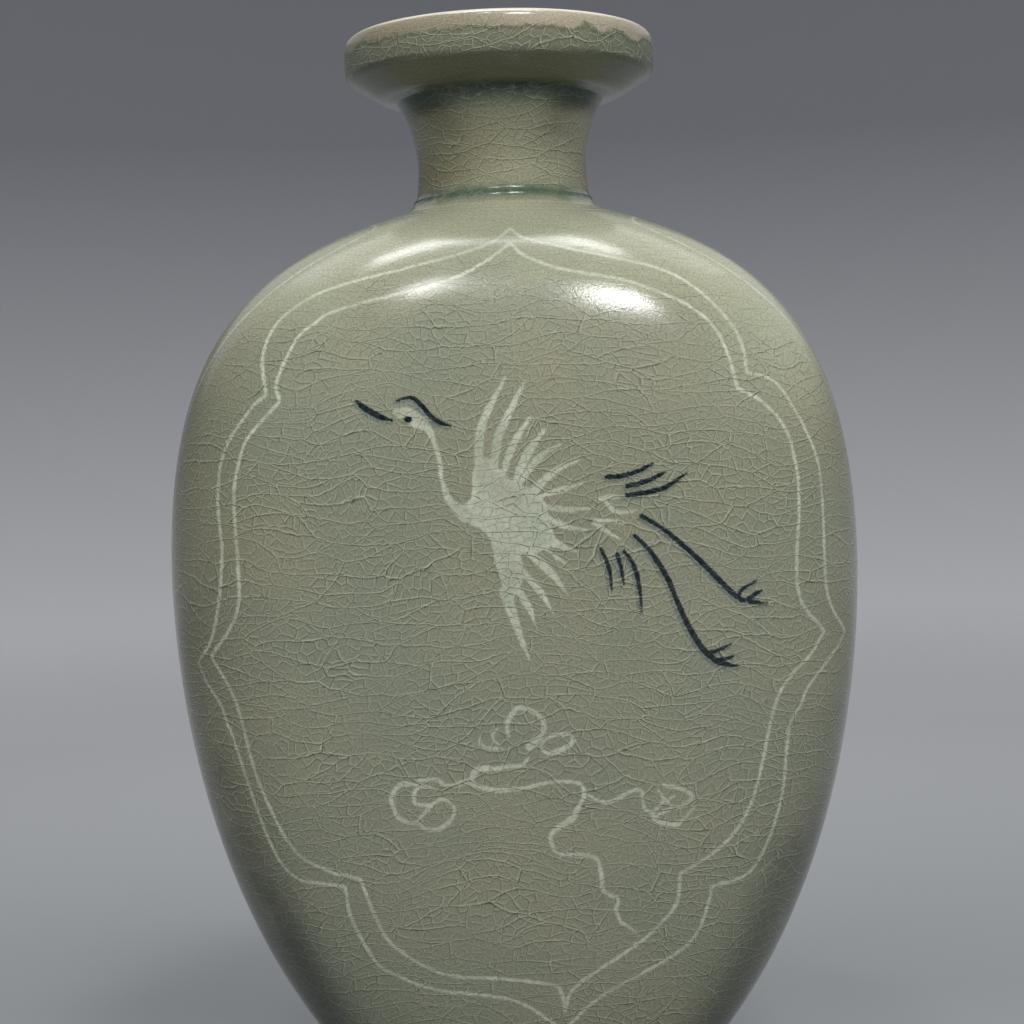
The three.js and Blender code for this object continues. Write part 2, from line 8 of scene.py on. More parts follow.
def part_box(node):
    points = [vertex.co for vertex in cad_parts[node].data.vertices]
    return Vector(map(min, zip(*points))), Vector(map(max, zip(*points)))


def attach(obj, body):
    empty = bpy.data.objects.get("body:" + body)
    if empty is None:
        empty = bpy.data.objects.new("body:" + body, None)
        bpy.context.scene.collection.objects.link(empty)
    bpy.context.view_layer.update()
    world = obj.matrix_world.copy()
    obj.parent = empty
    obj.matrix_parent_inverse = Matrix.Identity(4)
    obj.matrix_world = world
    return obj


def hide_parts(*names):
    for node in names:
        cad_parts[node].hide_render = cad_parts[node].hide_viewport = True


# A flattened celadon vase: glazed body, neck, dish mouth and foot ring, with white and black slip inlay.
# The drawing and the outline are in millimetres. Meshes, the lamps and the camera are in metres.

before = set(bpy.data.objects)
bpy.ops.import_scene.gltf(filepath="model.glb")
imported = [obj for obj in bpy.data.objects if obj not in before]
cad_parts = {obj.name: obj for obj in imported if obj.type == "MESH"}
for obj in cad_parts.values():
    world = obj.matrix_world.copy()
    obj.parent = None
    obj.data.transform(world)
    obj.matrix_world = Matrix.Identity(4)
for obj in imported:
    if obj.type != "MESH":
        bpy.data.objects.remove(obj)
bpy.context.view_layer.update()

MM = 0.001

# Sizes that the frame gives


def corners(node):
    low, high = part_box(node)
    return np.array(low) / MM, np.array(high) / MM


body_low, body_high = corners("body")
neck_low, neck_high = corners("neck")
mouth_low, mouth_high = corners("mouth")
foot_low, foot_high = corners("foot_ring")

HALF_WIDTH = body_high[0]
HALF_DEPTH = body_high[1]
FOOT_HEIGHT = body_low[2]
SEAT_HEIGHT = body_high[2]
MOUTH_HEIGHT = mouth_low[2]
RIM_HEIGHT = mouth_high[2]
MOUTH_RADIUS = mouth_high[0]
NECK_TOP_RADIUS = neck_high[0]
FOOT_HALF_WIDTH = foot_high[0]

# Sizes of the outline. A cross-section's squareness runs from 2, which is round, upwards.

ROUND = 2
BELLY_SQUARENESS = 4
BELLY_HEIGHT = 124
SHOULDER_HEIGHT = 201
COLLAR_RADIUS = 22.5
SEAT_RADIUS = 19.8
FOOT_TOP = (34, 27)
FOOT_SQUARENESS = 2.4
COVE_TOP = 14
WALL = 5
FLOOR = 6
BORE_RADIUS = 13

# Outline from the belly up to the collar and down to the foot, as the control points of a cubic
# curve: half-width, half-depth, squareness and height
UPPER = np.array([
    (HALF_WIDTH, HALF_DEPTH, BELLY_SQUARENESS, BELLY_HEIGHT),
    (HALF_WIDTH, HALF_DEPTH, BELLY_SQUARENESS, 167.5),
    (61, 41.5, 3.1, 190),
    (COLLAR_RADIUS, COLLAR_RADIUS, ROUND, SHOULDER_HEIGHT),
])
LOWER = np.array([
    (HALF_WIDTH, HALF_DEPTH, BELLY_SQUARENESS, BELLY_HEIGHT),
    (HALF_WIDTH, HALF_DEPTH, BELLY_SQUARENESS, 106),
    (70.5, 46, 3.4, 47),
    (FOOT_TOP[0], FOOT_TOP[1], FOOT_SQUARENESS, FOOT_HEIGHT),
])

# The outside of the neck and the whole of the mouth, as radius and height above the neck's seat
NECK_OUTLINE = [(19.15, 0.9), (18.85, 3), (18.6, 7), (18.85, 11), (19.6, 14.4), (20.5, 17.6), (21.5, 19.9)]
MOUTH_OUTLINE = [
    (24.6, 22.5), (26.8, 23), (29.6, 24.5), (32, 25.9), (33.3, 26.7), (33.95, 27.6), (34.15, 29),
    (MOUTH_RADIUS, 31.5), (34.1, 33.6), (33.7, 35), (32.9, 35.8), (32, RIM_HEIGHT - SEAT_HEIGHT),
    (31.2, 35.7), (30.6, 34.9), (30.2, 33.4), (30.1, 31), (29.6, 29), (28, 27.5), (25, 26.8), (20, 26.3),
    (16, 26), (14.2, 25.5), (13.3, 24.4), (BORE_RADIUS, 23),
]

# The foot ring from its cove down its outside and up its recess: how far out from its top, and height
FLARE = FOOT_HALF_WIDTH - FOOT_TOP[0]
FOOT_OUTLINE = [
    (2.15, 12.1), (1.1, 10.2), (0.65, 8.2), (0.7, 6), (1.15, 4), (1.9, 2.3), (FLARE - 0.15, 1.5),
    (FLARE - 0.05, 0.9), (FLARE - 0.35, 0.35), (FLARE - 1, 0.04), (FLARE - 1.6, 0), (-2.6, 0),
    (-3.3, 0.15), (-3.9, 0.8), (-4.6, 4), (-5.6, 8), (-6.6, FOOT_HEIGHT + 0.2),
]

# Facets, and the rows of the finer table of sections that places are looked up in
COLUMNS = 320
LOWER_ROWS = 70
UPPER_ROWS = 120
COLLAR_ROWS = 14
CAVITY_ROWS = 50
LOOKUP_ROWS = (400, 600)

# How an inlay lies: proud of the glaze at its middle, under it at its edge, and this far into the clay
PROUD = 0.035
SUNK = 0.03
INLAY_DEPTH = 0.7


def bezier(points, share):
    """A cubic curve through control points, at an array of shares."""
    t = np.asarray(share, float)[:, None]
    a, b, c, d = np.asarray(points, float)
    return (1 - t) ** 3 * a + 3 * (1 - t) ** 2 * t * b + 3 * (1 - t) * t**2 * c + t**3 * d


def collar_sections():
    """The concave collar between the shoulder and the neck, as round sections."""
    share = np.linspace(0, 1, COLLAR_ROWS + 1)[1:]
    radius = COLLAR_RADIUS + (SEAT_RADIUS - COLLAR_RADIUS) * np.sin(share * math.pi / 2)
    height = SHOULDER_HEIGHT + (SEAT_HEIGHT - SHOULDER_HEIGHT) * share
    return np.column_stack([radius, radius, np.full_like(radius, ROUND), height])


def body_sections(lower_rows, upper_rows):
    """Sections from foot to collar, one a row: half-width, half-depth, squareness and height."""
    below = bezier(LOWER, np.linspace(1, 0, lower_rows + 1))
    above = bezier(UPPER, np.linspace(0, 1, upper_rows + 1))[1:]
    return np.vstack([below, above, collar_sections()])


SECTIONS = body_sections(*LOOKUP_ROWS)


def section_at(height):
    """Half-width, half-depth and squareness at each height."""
    return [np.interp(height, SECTIONS[:, 3], SECTIONS[:, i]) for i in range(3)]


def section_points(half_width, half_depth, squareness, angle):
    """Points of a cross-section. The angle is 0 at the front and grows towards the right."""
    s, c = np.sin(angle), np.cos(angle)
    reach = (np.abs(s) ** squareness + np.abs(c) ** squareness) ** (-1 / squareness)
    return half_width * reach * s, -half_depth * reach * c


def front_surface(across, height):
    """Points of the front face, from millimetres across and up."""
    a, b, n = section_at(height)
    rest = np.clip(1 - np.abs(across / a) ** n, 1e-6, 1)
    return np.column_stack([across, -b * rest ** (1 / n), height])


def right_surface(across, height):
    """Points of the right side, from millimetres along Y and up."""
    a, b, n = section_at(height)
    rest = np.clip(1 - np.abs(across / b) ** n, 1e-6, 1)
    return np.column_stack([a * rest ** (1 / n), across, height])


def outward(points):
    """The direction that looks straight out of the body's surface at each point."""
    step = 0.15

    def share(p):
        a, b, n = section_at(p[:, 2])
        return np.abs(p[:, 0] / a) ** n + np.abs(p[:, 1] / b) ** n

    slope = np.column_stack([
        share(points + step * axis) - share(points - step * axis) for axis in np.eye(3)
    ])
    return slope / np.linalg.norm(slope, axis=1)[:, None]


def lengths_along(line):
    """How far along a line each of its points lies."""
    return np.concatenate([[0], np.cumsum(np.linalg.norm(np.diff(line, axis=0), axis=1))])


# Places on the skin, in millimetres: how far round from the front's middle line, and how far up along
# the profile. The neck takes a length of it above the body, and the foot ring starts below it. The back
# half has places of its own, so its crackle differs.
PROFILE_UP = lengths_along(SECTIONS[:, [1, 3]])
NECK_LENGTH = 24
FOOT_SHIFT = -60
BACK_SHIFT = (700, 300)
ARC_STEPS = 40


def skin_place(points):
    """Places on the skin, seen from the front."""
    a, b, n = section_at(points[:, 2])
    angle = np.arctan2(points[:, 0] / a, -points[:, 1] / b)
    share = np.linspace(0, 1, ARC_STEPS + 1)[:, None]
    x, y = section_points(a, b, n, angle * share)
    around = np.hypot(np.diff(x, axis=0), np.diff(y, axis=0)).sum(0) * np.sign(angle)
    up = np.interp(points[:, 2], SECTIONS[:, 3], PROFILE_UP)
    return np.column_stack([around, up])


def catmull(points, closed=False, step=0.5):
    """A smooth line through points, with points about one step apart."""
    p = np.asarray(points, float)
    if closed:
        p = np.vstack([p[-1], p, p[0], p[1]])
    else:
        p = np.vstack([2 * p[0] - p[1], p, 2 * p[-1] - p[-2]])
    line = []
    for before, start, end, after in zip(p, p[1:], p[2:], p[3:]):
        count = max(2, int(np.ceil(np.linalg.norm(end - start) / step)))
        t = np.linspace(0, 1, count, endpoint=False)[:, None]
        line.append(0.5 * (
            2 * start + (end - before) * t
            + (2 * before - 5 * start + 4 * end - after) * t**2
            + (3 * start - before - 3 * end + after) * t**3
        ))
    if not closed:
        line.append(p[-2:-1])
    return np.vstack(line)


# The drawing on the broad faces: millimetres across from the middle and up from the ground

FRAME_WIDTH = 0.9
SIDE_WIDTH = 0.8

# The frame's arcs between its corners, each a smooth line through a few points
OUTER_FRAME = [
    [(1.3, 194.3), (-1.8, 191.9), (-4.9, 190.4), (-14.1, 187.7), (-27, 184.8), (-33.4, 183.3),
     (-39.9, 181.1), (-46.8, 176.3), (-50.1, 169.4), (-49.4, 160.8)],
    [(-49.4, 160.8), (-52.8, 157.9), (-58.4, 149.6), (-59.9, 139.8), (-59.3, 127.7), (-61.7, 113.2),
     (-65.6, 106.6)],
    [(-65.6, 106.6), (-64.1, 102.7), (-61, 97.9), (-58.7, 91.1), (-49.6, 64.4), (-36.7, 60)],
    [(-36.7, 60), (-35.6, 52.9), (-31.3, 44.1), (-28.3, 41.5), (-18.8, 37.5), (-3.2, 34.8), (7.2, 27.7)],
    [(7.2, 27.7), (15.2, 35), (33, 45.2), (37.7, 54.7), (38.1, 57.5)],
    [(38.1, 57.5), (47, 60.7), (52.9, 74.1), (54.8, 89.5), (57.3, 94.1), (59.5, 98.5), (65.6, 105.2),
     (67.9, 108.7)],
    [(67.9, 108.7), (63.6, 117.6), (63.2, 137), (61.7, 146.9), (55, 159.5), (48.4, 162.5)],
    [(48.4, 162.5), (47.8, 168), (46, 172.2), (42.3, 177), (37.4, 181.5), (30.5, 185), (16.4, 188.7),
     (4.9, 191.8), (1.3, 194.3)],
]
INNER_FRAME = [
    [(1.2, 191), (-5, 186.5), (-13.4, 182.8), (-34, 178), (-39.2, 175.3), (-42.9, 172.2), (-47.1, 163.6),
     (-46.5, 159.4)],
    [(-46.5, 159.4), (-50.2, 155.6), (-53.7, 151.6), (-55.4, 146.6), (-56.4, 139.9), (-55.9, 120.5),
     (-58.1, 113.8), (-62.6, 108)],
    [(-62.6, 108), (-57.6, 98.6), (-53.8, 82.6), (-47.4, 68.4), (-40.7, 63.8), (-33.5, 61.7)],
    [(-33.5, 61.7), (-29.3, 50.1), (-25.4, 45.7), (-20.2, 42.3), (-14.5, 40.3), (-8.1, 39.9), (4.4, 38.1),
     (6.8, 36.3), (7.5, 32)],
    [(7.5, 32), (8.4, 35.3), (11.2, 38.5), (22.4, 45.9), (27.2, 50), (30.8, 54.3), (31.9, 60.9)],
    [(31.9, 60.9), (35.9, 63), (40.9, 66.5), (45.1, 71.6), (48.1, 79), (51.7, 94.1), (54.9, 100.1),
     (59.6, 104.5), (62.8, 109.2)],
    [(62.8, 109.2), (57.2, 117.9), (58.1, 136.8), (57.2, 146.1), (55.6, 151.1), (51.6, 156), (46.2, 159.2)],
    [(46.2, 159.2), (45.5, 162.7), (44.1, 167.7), (41.7, 172.5), (37, 176.6), (30.1, 180), (23.1, 182.5),
     (11.2, 185.1), (4.3, 188), (1.2, 191)],
]
SIDE_FRAME = [
    (0, 198.4), (-12, 198.2), (-20.5, 196.6), (-24.2, 193.8), (-26.6, 188.8), (-27.8, 183.2), (-28, 176),
    (-25.8, 150), (-22.4, 120), (-21, 85), (-16.5, 55), (0, 41), (16.5, 55), (21, 85), (22.4, 120),
    (25.8, 150), (28, 176), (27.8, 183.2), (26.6, 188.8), (24.2, 193.8), (20.5, 196.6), (12, 198.2),
]
SIDE_DOT = [(-3.1, 187.5), (-2.9, 187.5)]
SIDE_DOT_WIDTH = 1.8


def area(*points):
    return {"area": points}


def stroke(points, *widths):
    return {"line": points, "widths": widths}


WHITE_MARKS = {
    "crane": [
        area((-23.6, 156.7), (-22.2, 154.8), (-18.7, 152.8), (-15.8, 152.2), (-16.7, 154.9), (-20.2, 157.3)),
        stroke([(-16.5, 153.3), (-15.2, 149.5), (-14.3, 145.5), (-14, 142.3), (-12.6, 138.3), (-9.7, 135)],
               1.6, 1.1, 1, 1.1, 1.7, 2.6),
        area((-12, 137.1), (-9.2, 137.8), (-8.2, 139.7), (-7.6, 144.9), (-5, 146.8), (-2.3, 144.3),
             (0.4, 141.8), (5.1, 139.3), (7, 136.1), (7.3, 133.7), (8.3, 129.3), (4.7, 127.3), (1.5, 127.2),
             (2, 123.2), (0.5, 119.7), (-1.5, 117.4), (-3.2, 122.6), (-3.9, 125.4), (-4.5, 128.9),
             (-5.8, 131.6), (-9.5, 133.9)),
        stroke([(-6.6, 143.4), (-6.2, 150.8), (-4.7, 155.5), (-0.7, 162.8)], 2, 2, 1.6, 0.7),
        stroke([(-3.7, 143), (-2.7, 149.9), (-0.6, 154.6), (3.2, 161.7)], 1.8, 2, 1.6, 0.6),
        stroke([(-2.1, 142), (0.2, 148.6), (4, 154.4)], 1.2, 1.8, 0.8),
        stroke([(0.5, 141.6), (3.4, 147.3), (6.9, 152)], 1.3, 2, 0.8),
        stroke([(1.6, 141.4), (5.7, 146.4), (9.9, 148.9)], 1, 1.7, 0.5),
        stroke([(3.9, 139.2), (8.4, 143.4), (13.6, 145.6)], 2.1, 1.5, 0.5),
        stroke([(5.2, 138.6), (10.2, 139.8), (14.2, 141)], 0.9, 1.5, 0.5),
        stroke([(4.4, 136.5), (10.9, 135.8), (15.5, 135.8)], 1.2, 1.4, 0.5),
        stroke([(5.2, 135.5), (10, 132.6), (14.7, 131.5)], 1, 1.6, 0.5),
        stroke([(5.4, 130.2), (12.6, 127.2)], 2.6, 0.6),
        stroke([(4.9, 129), (11.3, 124.1)], 1.2, 0.4),
        stroke([(1.4, 128.4), (6.6, 123.9), (10.4, 118.8)], 1.3, 1.9, 0.5),
        stroke([(0.4, 125), (4.9, 119.5), (7.7, 114.5)], 1.6, 1.6, 0.4),
        stroke([(-0.6, 121.4), (2.4, 116.8), (3.8, 112.6)], 1.5, 1.7, 0.4),
        stroke([(-2, 119.8), (-0.1, 113), (2.4, 105.7)], 2.7, 1.8, 0.4),
    ],
    "crane_tail_upper": [
        stroke([(17.7, 137.8), (20.3, 138), (22.9, 137.7)], 1.1, 0.9, 0.5),
        stroke([(18.1, 137.6), (20.4, 135.2), (22.6, 134.9), (25, 135.2)], 0.9, 1.1, 0.9, 0.5),
    ],
    "crane_tail_lower": [
        stroke([(16.5, 133.3), (19.5, 133.2), (22.3, 132.5)], 1.2, 1, 0.5),
        stroke([(16.1, 132.9), (18.9, 131), (21.2, 129.5)], 1.2, 1, 0.5),
    ],
    "cloud_scroll": [
        stroke([(-20.9, 81), (-24.2, 81.3), (-26.1, 79.4), (-26.2, 77.1), (-25.1, 74.4), (-23.3, 73.4),
                (-21.2, 73.1), (-19.6, 72), (-16.8, 72), (-14.4, 73.9), (-13.7, 76), (-14.8, 77.5)],
               0.8, 1.2, 1.3, 1.2, 1, 0.9, 1, 1.2, 1.2, 1.1, 0.9, 0.7),
        stroke([(-14.8, 77.5), (-16.2, 78), (-18, 77.1), (-19.5, 75.5), (-21.2, 73.8)],
               0.7, 0.9, 1, 0.9, 0.7),
        stroke([(-17.5, 79.9), (-19.3, 80.7), (-21.2, 80.3), (-21.9, 78.6), (-21.5, 77.2), (-19.4, 76.9),
                (-17.8, 77.3)], 0.7, 0.9, 1, 1, 0.9, 0.9, 0.7),
        stroke([(-20.6, 82), (-17.4, 82.1), (-15.1, 80.8), (-12.3, 81.1), (-10, 81.8), (-9.5, 83.4),
                (-8.1, 84.1), (-5.3, 84), (-2.3, 84.4), (0.1, 84.5), (1.6, 86)],
               0.8, 0.9, 1, 1.2, 1.5, 1.4, 1.3, 1.2, 1.1, 0.9, 0.6),
        stroke([(-10.2, 81.1), (-7.7, 80.1), (-5.4, 79.5), (-2, 79.5), (1.5, 80), (4.3, 80.6),
                (7.2, 80.9), (11, 80.6), (12.4, 79.5), (12.5, 77.5), (11.4, 75.7), (10.2, 73.4),
                (7.2, 71.4), (5.7, 69.6), (6, 67.2), (7.7, 65.8), (11.4, 65.6), (14.6, 64.7), (15.6, 61.5),
                (15.8, 58.4), (17.4, 56.9), (19, 55.9), (18.5, 53.8), (19.3, 51.3), (21.1, 49.9),
                (23.2, 47.9)],
               0.9, 1.1, 1.2, 1.1, 1, 0.9, 0.9, 0.9, 1, 1, 1.1, 1.6, 1.4, 1.2, 1, 1, 1.1, 1.1, 1, 1, 1, 1,
               0.9, 0.9, 0.8, 0.5),
    ],
    "cloud_curl": [
        stroke([(-2.1, 90.4), (-2.6, 91.9), (-2.2, 93.8), (-0.8, 95.8), (0.9, 96.2), (3.4, 95), (4.7, 93.5),
                (4.9, 91.7), (3.9, 89.8), (1.8, 88.3)], 0.6, 1, 1.3, 1.2, 1, 1, 1.1, 1.2, 1.6, 1.8),
        stroke([(4.6, 89.2), (6.3, 90.3), (9.8, 90.5), (10.9, 89)], 0.8, 0.9, 0.9, 0.7),
        stroke([(10.9, 89), (9.1, 87.9), (6.5, 86.8), (4.8, 87)], 0.9, 1.2, 1.3, 0.8),
        stroke([(4.8, 87), (4.2, 88.2), (4.6, 89.2)], 0.7, 0.7, 0.7),
    ],
    "cloud_arc_inner": [stroke([(-4.6, 92), (-5.4, 91.1), (-5.3, 89.7), (-4.4, 88.9)], 0.8, 0.9, 0.9, 0.5)],
    "cloud_arc_outer": [stroke([(-8.1, 90.2), (-7.9, 89), (-6.3, 88.2), (-3.3, 88.1)], 0.7, 0.9, 0.9, 0.5)],
    "cloud_hook": [
        stroke([(13.5, 77.9), (15.2, 76.8), (17.2, 76.3), (19.3, 76.9), (21.6, 78.3), (24, 78.5),
                (24.4, 76.7), (24.8, 74.6), (26.2, 73.7), (26.9, 72.2), (29.1, 71.5), (31.1, 71.2),
                (33.2, 72.8), (35, 74.8)], 0.5, 0.8, 0.9, 1.1, 1.1, 1, 0.9, 0.9, 1, 1, 1, 1, 0.9, 0.6),
        stroke([(28.7, 79.4), (31.6, 78.8), (33.6, 77.8), (34.5, 76.6), (32.1, 74.9), (29.7, 74.4),
                (26.5, 72.8)], 0.8, 1.1, 1.1, 1, 1, 0.9, 0.7),
        stroke([(27.5, 78.4), (28.9, 76.6), (30.6, 74.7)], 0.7, 0.9, 0.6),
        stroke([(30.9, 77.1), (28.6, 76), (26.4, 73.8)], 0.6, 0.9, 0.6),
    ],
}

BLACK_MARKS = {
    "crane_eye": [stroke([(-20.6, 154.8), (-20.4, 154.8)], 1.3, 1.3)],
    "crane_bill": [
        stroke([(-30.8, 158.8), (-28.5, 156.9), (-26.2, 155.6), (-23.7, 154.6)], 0.7, 1.3, 1.2, 0.4),
    ],
    "crane_crest": [
        stroke([(-22.7, 158.7), (-20.1, 159.3), (-18.2, 158.1), (-16.2, 155.7), (-14.3, 154.1),
                (-11.9, 153.2)], 0.3, 0.8, 1, 0.9, 1, 0.4),
    ],
    "crane_plume_1": [stroke([(19, 142), (21.6, 142.1), (25, 142.9), (28.4, 144.4)], 0.9, 1, 0.9, 0.5)],
    "crane_plume_2": [stroke([(23, 140.1), (26.2, 140.7), (30.6, 142.5)], 0.9, 1, 0.5)],
    "crane_plume_3": [
        stroke([(22.9, 138.2), (27.1, 138.7), (30.5, 139.5), (33, 141), (35.2, 142.3)],
               0.8, 1, 1, 0.8, 0.3),
    ],
    "crane_plume_4": [stroke([(17.4, 127.7), (18.8, 123.9), (19.3, 119.5)], 0.7, 0.9, 0.4)],
    "crane_plume_5": [stroke([(20.5, 126.6), (21.3, 123.6), (21.7, 120.4)], 0.8, 0.8, 0.4)],
    "crane_plume_6": [
        stroke([(21.9, 127.1), (23.5, 124.9), (24.5, 121.8), (25, 118.1), (25.1, 114.7)],
               0.6, 0.9, 0.9, 0.7, 0.3),
    ],
    "crane_leg_upper": [
        stroke([(25.7, 134), (27.8, 132.7), (30.5, 130.8), (34.1, 127.6), (37.7, 124.1), (40.7, 120.9),
                (43.4, 118.1), (45.6, 116.4), (47.1, 116.7)], 0.9, 0.8, 0.9, 1, 1.1, 1.1, 1.1, 1, 0.8),
        stroke([(44.6, 117.1), (45.6, 118.6), (48.7, 120.3)], 0.7, 0.7, 0.3),
        stroke([(46.5, 116.5), (47.8, 117.3), (49.6, 118.3)], 0.9, 0.8, 0.4),
        stroke([(46.5, 116.5), (47.8, 115.9), (50.8, 115.6)], 0.9, 0.8, 0.3),
    ],
    "crane_leg_lower": [
        stroke([(24.2, 130.1), (27, 127.2), (29, 124.1), (30.8, 120.7), (32.2, 116.9), (34, 112.6),
                (36, 108.8), (38.1, 105.9), (40.3, 104.1)], 0.8, 0.9, 1.1, 1.1, 1, 1.1, 1.2, 1.2, 1.1),
        stroke([(38.1, 105.9), (40.6, 106.6), (43.2, 107.7)], 0.9, 0.8, 0.3),
        stroke([(39.6, 104.4), (41.8, 104.7), (43.4, 105.2)], 1, 0.9, 0.4),
        stroke([(40.3, 104.1), (42.1, 103.6), (44.6, 103.1)], 1.1, 0.9, 0.3),
    ],
}

# The marks, ready to measure from


def closed_frame(arcs):
    """One closed line through arcs that meet in corners."""
    line = np.vstack([catmull(arc)[:-1] for arc in arcs])
    return np.vstack([line, line[:1]])


def even_line(line, width):
    """A line of one width, as a mark."""
    return {"traced": line, "half": np.full(len(line), width / 2)}


def traced(mark):
    """A mark's middle line and half-widths, or an area's outline with no width."""
    if "traced" in mark:
        return mark["traced"], mark["half"]
    if "area" in mark:
        outline = catmull(mark["area"], closed=True, step=0.4)
        outline = np.vstack([outline, outline[:1]])
        return outline, np.zeros(len(outline))
    line = catmull(mark["line"], step=0.4)
    along = lengths_along(line)
    given = np.linspace(0, along[-1], len(mark["widths"]))
    return line, np.interp(along, given, mark["widths"]) / 2


def inside(flat, outline):
    """Which flat points lie inside an outline."""
    found = np.zeros(flat.shape[:-1], bool)
    for (x1, y1), (x2, y2) in zip(outline, outline[1:]):
        if y1 != y2:
            crosses = (y1 > flat[..., 1]) != (y2 > flat[..., 1])
            at = x1 + (flat[..., 1] - y1) * (x2 - x1) / (y2 - y1)
            found ^= crosses & (flat[..., 0] < at)
    return found


# Beyond this distance in millimetres a mark has no effect
FAR = 2.5


class Face:
    """A grid over one face of the body, with even steps across it and up along its middle profile."""

    def __init__(self, surface, profile, half_width, heights, step):
        along = lengths_along(profile)
        low, high = np.interp(heights, SECTIONS[:, 3], along)
        self.surface = surface
        self.across = np.arange(-half_width, half_width, step)
        self.height = np.interp(np.arange(low, high, step), along, SECTIONS[:, 3])
        self.flat = np.stack(np.meshgrid(self.across, self.height), -1)
        self.shape = self.flat.shape[:2]
        self.points = surface(self.flat[..., 0].ravel(), self.flat[..., 1].ravel())
        self.normals = outward(self.points)

    def window(self, line):
        """The rows and columns of the grid that lie near a line."""
        low, high = line.min(0) - FAR, line.max(0) + FAR
        rows = slice(*np.searchsorted(self.height, (low[1], high[1])))
        columns = slice(*np.searchsorted(self.across, (low[0], high[0])))
        return rows, columns

    def distance(self, marks):
        """Millimetres from each place to the nearest edge of the marks, less than 0 inside them."""
        points = self.points.reshape(*self.shape, 3)
        best = np.full(self.shape, FAR)
        for mark in marks:
            line, half = traced(mark)
            lifted = self.surface(line[:, 0], line[:, 1])
            own = np.full(self.shape, FAR)
            for i in range(len(line) - 1):
                here = self.window(line[i:i + 2])
                reach = points[here] - lifted[i]
                run = lifted[i + 1] - lifted[i]
                share = np.clip(reach @ run / max(run @ run, 1e-9), 0, 1)
                gap = np.linalg.norm(reach - share[..., None] * run, axis=-1)
                gap -= half[i] + (half[i + 1] - half[i]) * share
                own[here] = np.minimum(own[here], gap)
            here = self.window(line)
            if "area" in mark:
                filled = inside(self.flat[here], line)
                own[here] = np.where(filled, -own[here], own[here])
            best[here] = np.minimum(best[here], own[here])
        return best


# Meshes


def new_object(name, points, quads, material, triangles=()):
    """A smooth mesh object from points in millimetres."""
    triangles = np.asarray(triangles, int).reshape(-1, 3)
    sizes = np.concatenate([np.full(len(quads), 4), np.full(len(triangles), 3)])
    loops = np.concatenate([np.asarray(quads).ravel(), triangles.ravel()])
    mesh = bpy.data.meshes.new(name)
    mesh.vertices.add(len(points))
    mesh.vertices.foreach_set("co", (np.asarray(points) * MM).astype(np.float32).ravel())
    mesh.loops.add(len(loops))
    mesh.loops.foreach_set("vertex_index", loops.astype(np.int32))
    mesh.polygons.add(len(sizes))
    mesh.polygons.foreach_set("loop_start", (np.cumsum(sizes) - sizes).astype(np.int32))
    mesh.materials.append(material)
    mesh.update(calc_edges=True)
    mesh.shade_smooth()
    made = bpy.data.objects.new(name, mesh)
    bpy.context.scene.collection.objects.link(made)
    return made


def half_turned(points):
    return points * (-1, -1, 1)


def set_skin(made, points, place):
    """Writes each corner's place on the skin. A face takes the half of the vase that its middle is on, and
    place gives the places as seen from the front."""
    mesh = made.data
    vertices = np.empty(len(mesh.loops), np.int32)
    mesh.loops.foreach_get("vertex_index", vertices)
    sizes = np.empty(len(mesh.polygons), np.int32)
    mesh.polygons.foreach_get("loop_total", sizes)
    owners = np.repeat(np.arange(len(sizes)), sizes)
    middle = np.bincount(owners, points[vertices, 1]) / sizes
    front = (middle <= 0)[owners]
    back_spots = place(half_turned(points))[vertices] + BACK_SHIFT
    spots = np.where(front[:, None], place(points)[vertices], back_spots)
    spots = np.column_stack([spots, np.zeros(len(spots))])
    layer = mesh.attributes.new("skin", "FLOAT_VECTOR", "CORNER")
    layer.data.foreach_set("vector", spots.astype(np.float32).ravel())


def set_normals(made, normals):
    made.data.normals_split_custom_set_from_vertices(normals.tolist())


def loft(rows, columns, looped=False):
    """Quads between rings that run upwards. A looped loft joins its last ring to its first."""
    low = np.arange(rows if looped else rows - 1)[:, None] * columns
    high = (low + columns) % (rows * columns)
    i = np.arange(columns)
    j = (i + 1) % columns
    return np.stack([low + i, low + j, high + j, high + i], -1).reshape(-1, 4)


ANGLES = np.linspace(-math.pi / 2, 3 * math.pi / 2, COLUMNS, endpoint=False)


def section_ring(half_width, half_depth, squareness, height):
    x, y = section_points(half_width, half_depth, squareness, ANGLES)
    return np.column_stack([x, y, np.full(COLUMNS, height)])


